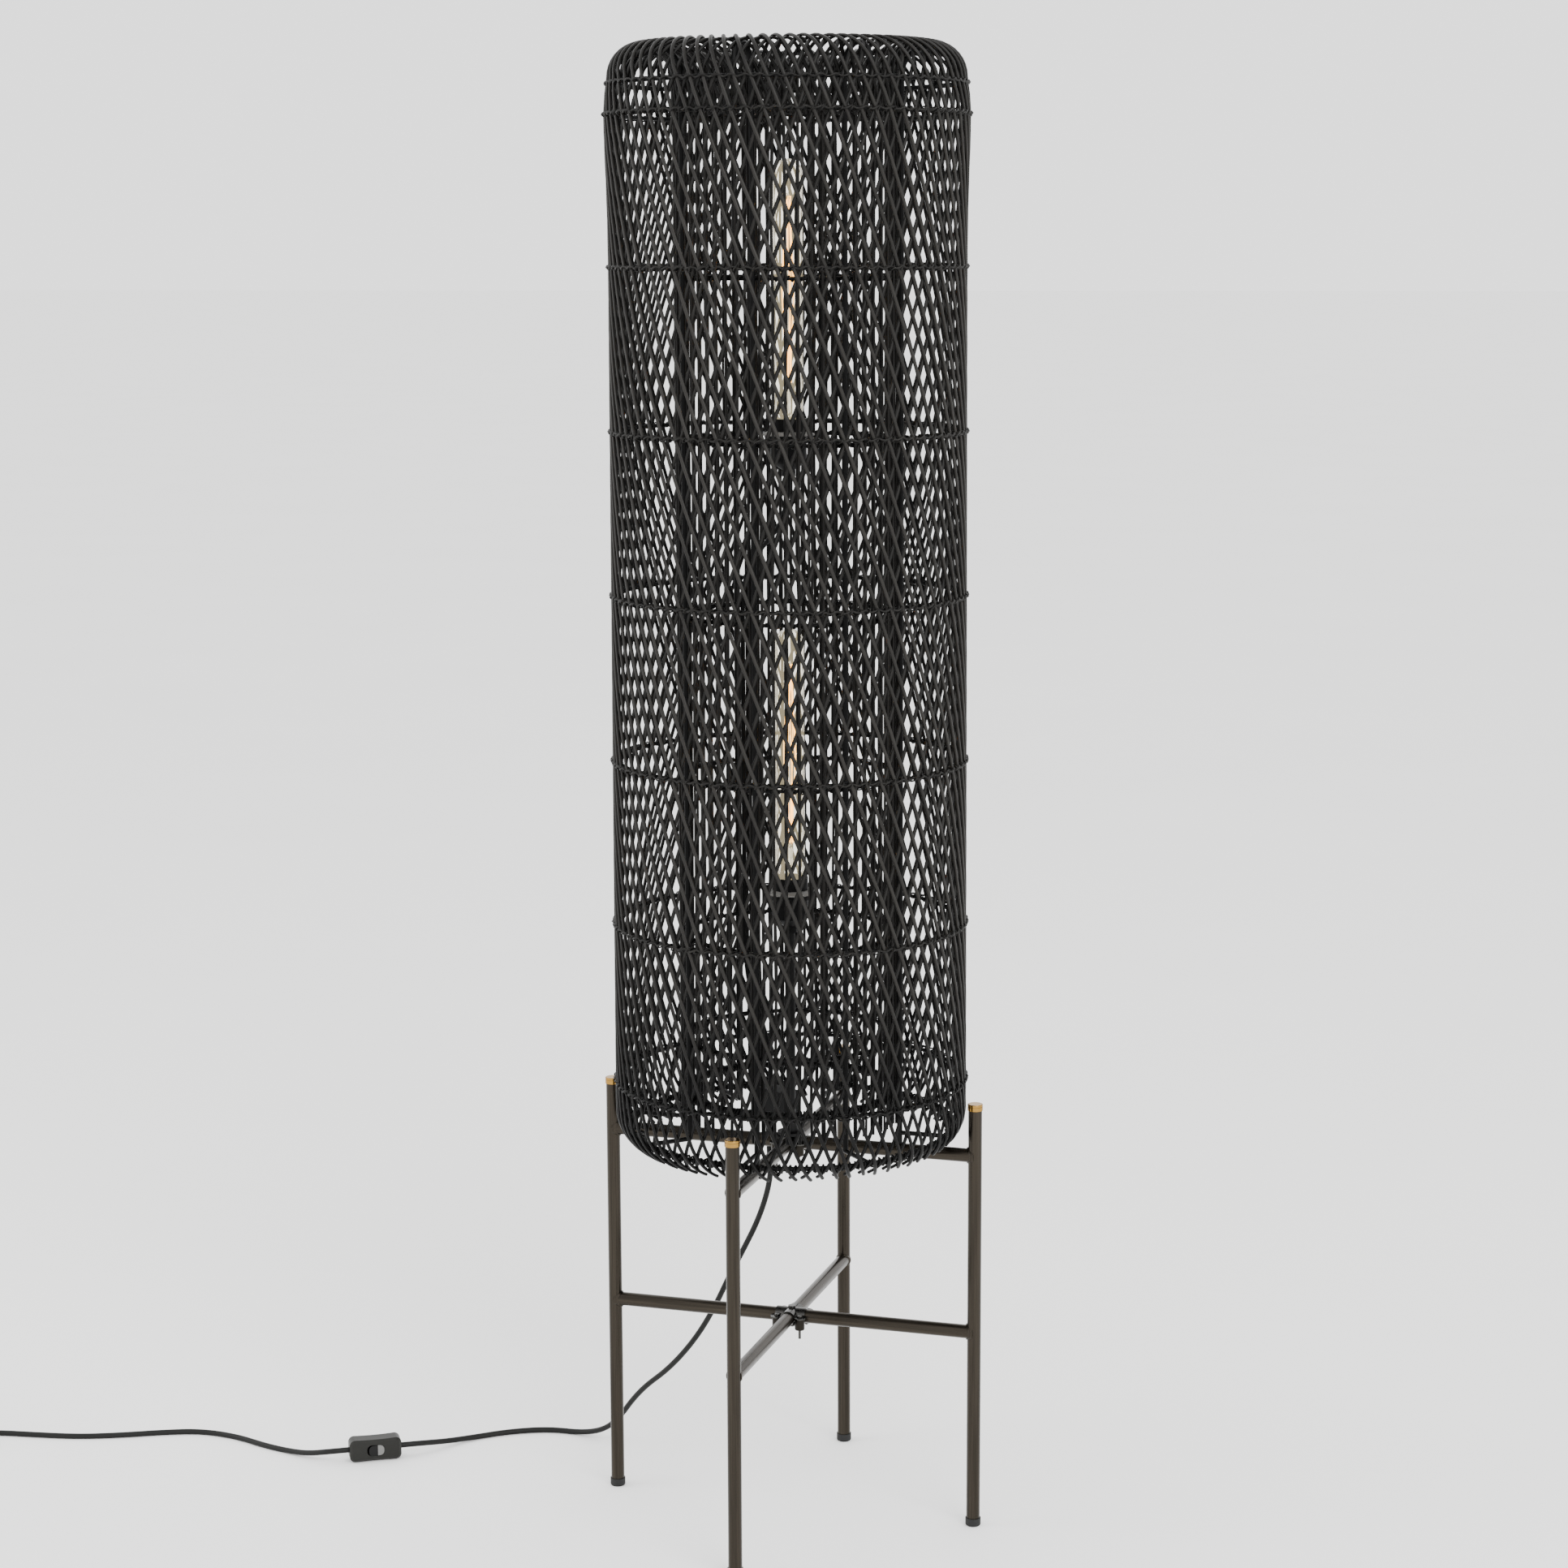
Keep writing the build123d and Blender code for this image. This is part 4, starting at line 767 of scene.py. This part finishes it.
def finishes():
    """Every finish of the lamp by the name of its slot."""
    finish = bpy.context.scene.lamp_finish
    if "cane_stained" in bpy.data.materials:
        raise RuntimeError("the finishes are already made")
    black = (0.003, 0.003, 0.003)
    stem_black = (0.004, 0.004, 0.004)
    chrome = (0.05, 0.049, 0.046)
    bronze = (0.012, 0.010, 0.007)
    ring_grey = (0.16, 0.155, 0.145)
    screw_shell = (0.45, 0.36, 0.2)
    contact = (0.4, 0.37, 0.3)
    nickel = (0.4, 0.385, 0.35)
    cord_black = (0.008, 0.008, 0.0075)
    switch_black = (0.013, 0.013, 0.0115)
    return {
        "stand_metal": tube_finish("gunmetal_upright", finish.gunmetal, (1, 1, 0.02)),
        "cap_brass": worn_surface(
            "polished_brass", finish.brass, (0.1, 0.22), 1.0, 700, (1, 1, 3), 0.05, 0.14,
        ),
        "foot_rubber": worn_surface("foot_rubber", black, (0.6, 0.8), 0.0, 900, bump=0.2),
        "plate_nickel": worn_surface(
            "dark_chrome", chrome, (0.1, 0.24), 1.0, 500, bump=0.06, contrast=0.4,
        ),
        "boss_bronze": worn_surface("dark_bronze", bronze, (0.25, 0.4), 0.8, 700),
        "shade_wire": worn_surface("black_wire", black, (0.35, 0.5), 0.0, 900, depth=1.2),
        "stem_metal": worn_surface("black_stem", stem_black, (0.35, 0.5), 0.0, 900, depth=1.25),
        "holder_plastic": worn_surface(
            "holder_bakelite", black, (0.3, 0.45), 0.0, 1100, bump=0.12, depth=1.2,
        ),
        "ring_plastic": worn_surface("ring_grey", ring_grey, (0.35, 0.5), 0.0, 900, contrast=0.12),
        "bulb_metal": worn_surface("bulb_shell", screw_shell, (0.2, 0.35), 1.0, 700),
        "contact_metal": worn_surface("bulb_contact", contact, (0.3, 0.42), 1.0, 900),
        "bulb_glass": glass_finish("warm_glass", (1.0, 0.985, 0.94)),
        "filament_wire": glow_finish("hot_filament", finish.glow, finish.glow_strength),
        "box_plastic": worn_surface(
            "box_moulding", black, (0.4, 0.55), 0.0, 1100, bump=0.15, depth=1.2,
        ),
        "lead_sheath": worn_surface("inner_lead", black, (0.4, 0.55), 0.0, 900, depth=1.2),
        "cord_sheath": worn_surface(
            "cord_sheath", cord_black, (0.38, 0.55), 0.0, 800, bump=0.1, depth=1.25,
        ),
        "switch_plastic": worn_surface(
            "switch_moulding", switch_black, (0.3, 0.42), 0.0, 1300, bump=0.12, depth=1.25,
        ),
        "rocker_plastic": rocker_finish("rocker_gloss", (0.001, 0.001, 0.001), (0.14, 0.14, 0.135)),
        "pin_metal": worn_surface("nickel_pins", nickel, (0.2, 0.32), 1.0, 900, contrast=0.1),
    }


# Pieces of the bulbs' insides

def tube_piece(name, line, radius, sides, material):
    """A plain mesh tube round a chain of points."""
    curve = bpy.data.curves.new(name, "CURVE")
    curve.dimensions = "3D"
    curve.bevel_depth = radius
    curve.bevel_resolution = sides
    curve.use_fill_caps = True
    spline = curve.splines.new("POLY")
    spline.points.add(len(line) - 1)
    for place, point in zip(spline.points, line):
        place.co = (*point, 1)
    piece = new_piece(name, curve)
    bpy.context.view_layer.update()
    depsgraph = bpy.context.evaluated_depsgraph_get()
    mesh = bpy.data.meshes.new_from_object(piece.evaluated_get(depsgraph), depsgraph=depsgraph)
    bpy.data.objects.remove(piece)
    mesh.materials.clear()
    mesh.materials.append(material)
    return new_piece(name, mesh)


# Outline of the glass stem as radii and heights above its foot, in millimetres
GLASS_STEM = [
    (10.4, 0.2), (9.6, 3.5), (6.8, 9), (4.2, 16), (3.1, 26), (2.7, 40), (3.0, 47), (1.9, 50.5),
    (1.0, 53), (0.9, 120), (0.9, 225), (1.5, 247), (2.1, 250), (1.3, 252.5),
]

# Slant of a run of the hot wire round the bulb's axis, and the wire's reach from that axis
RUN_SWING = 0.9
WIRE_REACH = 3.4 * MM
WIRE_BOW = 2.2 * MM
WIRE_WAVE = 1.1 * MM


def filament_line(foot, crown, runs):
    """Up and down between the hooks, bowed out a little on the way, in an open cage of wire."""
    steps = 14
    line = []
    for run in range(runs):
        angle = 2 * pi * run / runs
        for step in range(steps + 1):
            share = step / steps if run % 2 == 0 else 1 - step / steps
            reach = WIRE_REACH + WIRE_BOW * sin(pi * share) - WIRE_WAVE * sin(3 * pi * share)
            swing = angle + (share - 0.5) * RUN_SWING
            line.append((reach * cos(swing), reach * sin(swing), foot + share * (crown - foot)))
    return line


def lathe_piece(name, profile, sides, material):
    """A closed solid turned round the upright axis from (radius, height) points."""
    mesh = bpy.data.meshes.new(name)
    shape = bmesh.new()
    rings = []
    for radius, height in profile:
        angles = [2 * pi * side / sides for side in range(sides)]
        rings.append([
            shape.verts.new((radius * cos(angle), radius * sin(angle), height)) for angle in angles
        ])
    for below, above in zip(rings, rings[1:]):
        for side in range(sides):
            after = (side + 1) % sides
            shape.faces.new((below[side], below[after], above[after], above[side]))
    shape.faces.new(reversed(rings[0]))
    shape.faces.new(rings[-1])
    for face in shape.faces:
        face.smooth = len(face.verts) == 4
    shape.to_mesh(mesh)
    shape.free()
    mesh.materials.append(material)
    return new_piece(name, mesh)


def hook_piece(name, hooks, material):
    """Short wires that fan out from the stem to hold the hot wire, as (angle, inner, outer)."""
    root_reach, tip_reach, radius = 0.8 * MM, 3.9 * MM, 0.28 * MM
    mesh = bpy.data.meshes.new(name)
    shape = bmesh.new()
    for angle, inner, outer in hooks:
        start = Vector((root_reach * cos(angle), root_reach * sin(angle), inner))
        end = Vector((tip_reach * cos(angle), tip_reach * sin(angle), outer))
        turn = (end - start).to_track_quat("Z", "Y").to_matrix().to_4x4()
        bmesh.ops.create_cone(
            shape, cap_ends=True, segments=6, radius1=radius, radius2=radius,
            depth=(end - start).length, matrix=Matrix.Translation((start + end) / 2) @ turn,
        )
    shape.to_mesh(mesh)
    shape.free()
    mesh.materials.append(material)
    return new_piece(name, mesh)


# Operators

class LAMP_OT_studio(bpy.types.Operator):
    """Lay the pale floor, light it softly and set up the camera"""
    bl_idname = "lamp.studio"
    bl_label = "Studio"

    def execute(self, context):
        studio = context.scene.lamp_studio
        half = studio.floor_size / 2
        mesh = bpy.data.meshes.new("floor")
        corners = [(-half, -half, 0), (half, -half, 0), (half, half, 0), (-half, half, 0)]
        mesh.from_pydata(corners, [], [(0, 1, 2, 3)])
        floor = new_piece("floor", mesh)
        material, wiring, shader = new_material("floor_paint")
        cloud = surface_noise(wiring, object_place(wiring), 1.5, 3.0)
        pale = blend_colours(wiring, cloud, (0.93, 0.93, 0.925), (0.95, 0.95, 0.945))
        wiring.tree.links.new(pale, shader.inputs["Base Color"])
        shader.inputs["Roughness"].default_value = 0.85
        mesh.materials.append(material)

        world = bpy.data.worlds.new("studio_surround")
        world.use_nodes = True
        world.node_tree.nodes["Background"].inputs["Color"].default_value = (1, 1, 1, 1)
        world.node_tree.nodes["Background"].inputs["Strength"].default_value = studio.sky_strength
        context.scene.world = world
        lights = [
            ("key_light", (2.6, -2.6, 3.2), 2.4, studio.key_power),
            ("side_light", (-3.2, -1.4, 2.2), 2.0, studio.key_power * 0.35),
        ]
        for name, place, size, power in lights:
            lamp = bpy.data.lights.new(name, "AREA")
            lamp.shape = "SQUARE"
            lamp.size = size
            lamp.energy = power
            light = new_piece(name, lamp)
            towards = Vector((0, 0, 0.9)) - Vector(place)
            light.location = place
            light.rotation_euler = towards.to_track_quat("-Z", "Y").to_euler()

        camera = bpy.data.cameras.new("photo_camera")
        camera.lens = studio.lens
        camera.sensor_width = 36
        camera.clip_start = 0.05
        camera.clip_end = 100
        stand = new_piece("photo_camera", camera)
        stand.matrix_world = (
            Matrix.Translation(Vector(studio.camera_place))
            @ Matrix.Rotation(studio.camera_turn, 4, "Z")
            @ Matrix.Rotation(pi / 2 - studio.camera_tilt, 4, "X")
            @ Matrix.Rotation(studio.camera_roll, 4, "Z")
        )
        context.scene.camera = stand
        return {"FINISHED"}


class LAMP_OT_finishes(bpy.types.Operator):
    """Give every solid part of the lamp its finish"""
    bl_idname = "lamp.finishes"
    bl_label = "Finishes"

    def execute(self, context):
        by_slot = finishes()
        finish = context.scene.lamp_finish
        by_slot["weave_cane"] = cane_finish("cane_stained", finish.cane)
        # The same streaks with their painted sheen, turned to run along the bars that lie along X and
        # along Y.
        along_x = tube_finish("gunmetal_along_x", finish.gunmetal, (0.02, 1, 1))
        along_y = tube_finish("gunmetal_along_y", finish.gunmetal, (1, 0.02, 1))
        bar_sides = {
            "bar_left": along_x, "bar_right": along_x, "bar_front": along_y, "bar_back": along_y,
        }
        for part in frame["record"]["subparts"]:
            name = part["node"]
            worn = bar_sides.get("_".join(name.split("_")[1:]), by_slot[part["material_slot"]])
            for place in NODES[name].material_slots:
                place.material = worn
        return {"FINISHED"}


def finish_of(node):
    """The material that a solid part wears."""
    return NODES[node].material_slots[0].material


class LAMP_OT_cord(bpy.types.Operator):
    """Lay the cord from the lamp through its switch to the coil and the plug"""
    bl_idname = "lamp.cord"
    bl_label = "Cord"

    def execute(self, context):
        cord = context.scene.lamp_cord
        curve = bpy.data.curves.new("cord", "CURVE")
        curve.dimensions = "3D"
        curve.resolution_u = 8
        curve.bevel_depth = cord.diameter / 2
        curve.bevel_resolution = 4
        curve.use_fill_caps = True
        line = curve.splines.new("NURBS")
        points = cord_points()
        line.points.add(len(points) - 1)
        for place, point in zip(line.points, points):
            place.co = (*point, 1)
        line.order_u = 3
        line.use_endpoint_u = True
        piece = new_piece("cord", curve)
        curve.materials.append(finish_of("cord_to_coil"))
        finish_piece(piece, "root", "cord_sheath", "cord_from_lamp", "cord_to_coil", "cord_coil")
        return {"FINISHED"}


class LAMP_OT_filaments(bpy.types.Operator):
    """String the hot wire on its glass stem inside each bulb"""
    bl_idname = "lamp.filaments"
    bl_label = "Filaments"

    def execute(self, context):
        finish = context.scene.lamp_finish
        stem_glass = finish_of("lower_bulb_glass")
        hot = finish_of("lower_bulb_filament")
        hook_metal = finish_of("lower_bulb_contact")
        for level in ("lower", "upper"):
            low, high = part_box(f"{level}_bulb_filament")
            press, crown = low.z + 50 * MM, high.z - 2 * MM
            wire_line = filament_line(press + 5 * MM, crown - 3 * MM, finish.filament_runs)
            wire = tube_piece(f"{level}_filament_wire", wire_line, finish.filament_radius, 1, hot)
            finish_piece(wire, f"{level}_bulb", "filament_wire", f"{level}_bulb_filament")
            profile = [(radius * MM, low.z + height * MM) for radius, height in GLASS_STEM]
            stem = lathe_piece(f"{level}_glass_stem", profile, 20, stem_glass)
            finish_piece(stem, f"{level}_bulb", "bulb_glass")
            for label, height, way in (("low", press - 1 * MM, 1), ("high", crown - 2 * MM, -1)):
                hooks = []
                for run in range(finish.filament_runs):
                    angle = 2 * pi * run / finish.filament_runs - way * RUN_SWING / 2
                    hooks.append((angle, height, height + way * 6 * MM))
                piece = hook_piece(f"{level}_hooks_{label}", hooks, hook_metal)
                finish_piece(piece, f"{level}_bulb", "contact_metal")
        return {"FINISHED"}


class LAMP_OT_outer_strands(bpy.types.Operator):
    """Weave the slanting canes of the outer wall, the rim and the hem"""
    bl_idname = "lamp.outer_strands"
    bl_label = "Outer Strands"

    def execute(self, context):
        weave = context.scene.lamp_weave
        tree = bpy.data.node_groups.get("shade_strands") or strand_tree()
        cane = finish_of("shade_outer_weave")
        thickness = weave.strand_thickness
        # The front layer's canes take a lighter tone range and the back layer's a darker one: painted
        # light on the canes in front and painted shade on those behind, over a random tone for each
        # cane.
        front = ("outer_strands_front", -1.0, thickness * 0.5, 0.6, 1.2)
        back = ("outer_strands_back", 1.0, thickness * 1.37, 0.0, 0.4)
        stands_for = [["shade_outer_weave", "shade_hem_weave"], ["shade_rim_weave"]]
        for (name, direction, depth, darkest, lightest), nodes in zip((front, back), stands_for):
            piece = new_piece(name, line_mesh(name, outer_line(), weave.lean))
            grow(piece, tree, {
                "Bundles": weave.strand_count, "Strands per Bundle": 1,
                "Pair Gap": 0.0, "Pair Depth": 0.0,
                "Direction": direction, "Depth": depth,
                "Width": weave.strand_width, "Thickness": thickness, "Wander": weave.wander,
                "Cut Spread": weave.ragged_cut, "Cut Tilt": weave.tilt_cut,
                "Cut at Bars": weave.bar_cut, "Darkest": darkest, "Lightest": lightest,
                "Seed": weave.seed + int(direction), "Material": cane,
            })
            finish_piece(piece, "root", "weave_cane", *nodes)
        return {"FINISHED"}


class LAMP_OT_inner_strands(bpy.types.Operator):
    """Weave the upright canes of the inner wall"""
    bl_idname = "lamp.inner_strands"
    bl_label = "Inner Strands"

    def execute(self, context):
        weave = context.scene.lamp_weave
        tree = bpy.data.node_groups.get("shade_strands") or strand_tree()
        piece = new_piece("inner_strands", line_mesh("inner_strands", inner_line(), 0.0))
        grow(piece, tree, {
            "Bundles": weave.inner_count, "Strands per Bundle": 2,
            "Pair Gap": weave.inner_gap, "Pair Depth": weave.inner_depth,
            "Direction": 1.0, "Depth": weave.strand_thickness * 0.75,
            "Width": weave.strand_width * weave.inner_share,
            "Thickness": weave.strand_thickness * weave.inner_share,
            "Wander": weave.wander, "Cut Spread": 0.0, "Cut Tilt": 0.0, "Cut at Bars": 0.0,
            "Darkest": 0.0, "Lightest": 0.7, "Seed": weave.seed + 11,
            "Material": finish_of("shade_inner_weave"),
        })
        finish_piece(piece, "root", "weave_cane", "shade_inner_weave")
        return {"FINISHED"}


class LAMP_OT_twine(bpy.types.Operator):
    """Wind the thread that ties the canes to their hoops"""
    bl_idname = "lamp.twine"
    bl_label = "Twine"

    def execute(self, context):
        weave = context.scene.lamp_weave
        tree = twine_tree()
        for name, hoops, turns, steps, reach, rise, weight in windings():
            mesh = bpy.data.meshes.new(name)
            mesh.from_pydata(hoops, [], [])
            piece = new_piece(name, mesh)
            grow(piece, tree, {
                "Hoops": len(hoops), "Turns": turns, "Steps per Turn": steps,
                "Loop Depth": reach * MM, "Loop Height": rise * MM,
                "Thread": weave.twine_radius * weight, "Seed": weave.seed,
                "Material": finish_of("shade_outer_weave"),
            })
            finish_piece(piece, "root", "weave_cane")
        return {"FINISHED"}


class LAMP_PT_panel(bpy.types.Panel):
    """The lamp's pieces in the order in which they are made"""
    bl_idname = "LAMP_PT_panel"
    bl_label = "Rattan Floor Lamp"
    bl_space_type = "VIEW_3D"
    bl_region_type = "UI"
    bl_category = "Lamp"

    def draw(self, context):
        for operator in MAKERS:
            self.layout.operator(operator.bl_idname)


GROUPS = {
    "lamp_studio": LampStudioSettings,
    "lamp_cord": LampCordSettings,
    "lamp_weave": LampWeaveSettings,
    "lamp_finish": LampFinishSettings,
}
MAKERS = [
    LAMP_OT_studio,
    LAMP_OT_finishes,
    LAMP_OT_cord,
    LAMP_OT_filaments,
    LAMP_OT_outer_strands,
    LAMP_OT_inner_strands,
    LAMP_OT_twine,
]


def register():
    for cls in (*GROUPS.values(), *MAKERS, LAMP_PT_panel):
        bpy.utils.register_class(cls)
    for name, group in GROUPS.items():
        setattr(bpy.types.Scene, name, bpy.props.PointerProperty(type=group))


def unregister():
    for name in GROUPS:
        delattr(bpy.types.Scene, name)
    for cls in reversed((*GROUPS.values(), *MAKERS, LAMP_PT_panel)):
        bpy.utils.unregister_class(cls)


def main():
    register()
    for maker in MAKERS:
        group, name = maker.bl_idname.split(".")
        getattr(getattr(bpy.ops, group), name)()


if __name__ == "__main__":
    main()
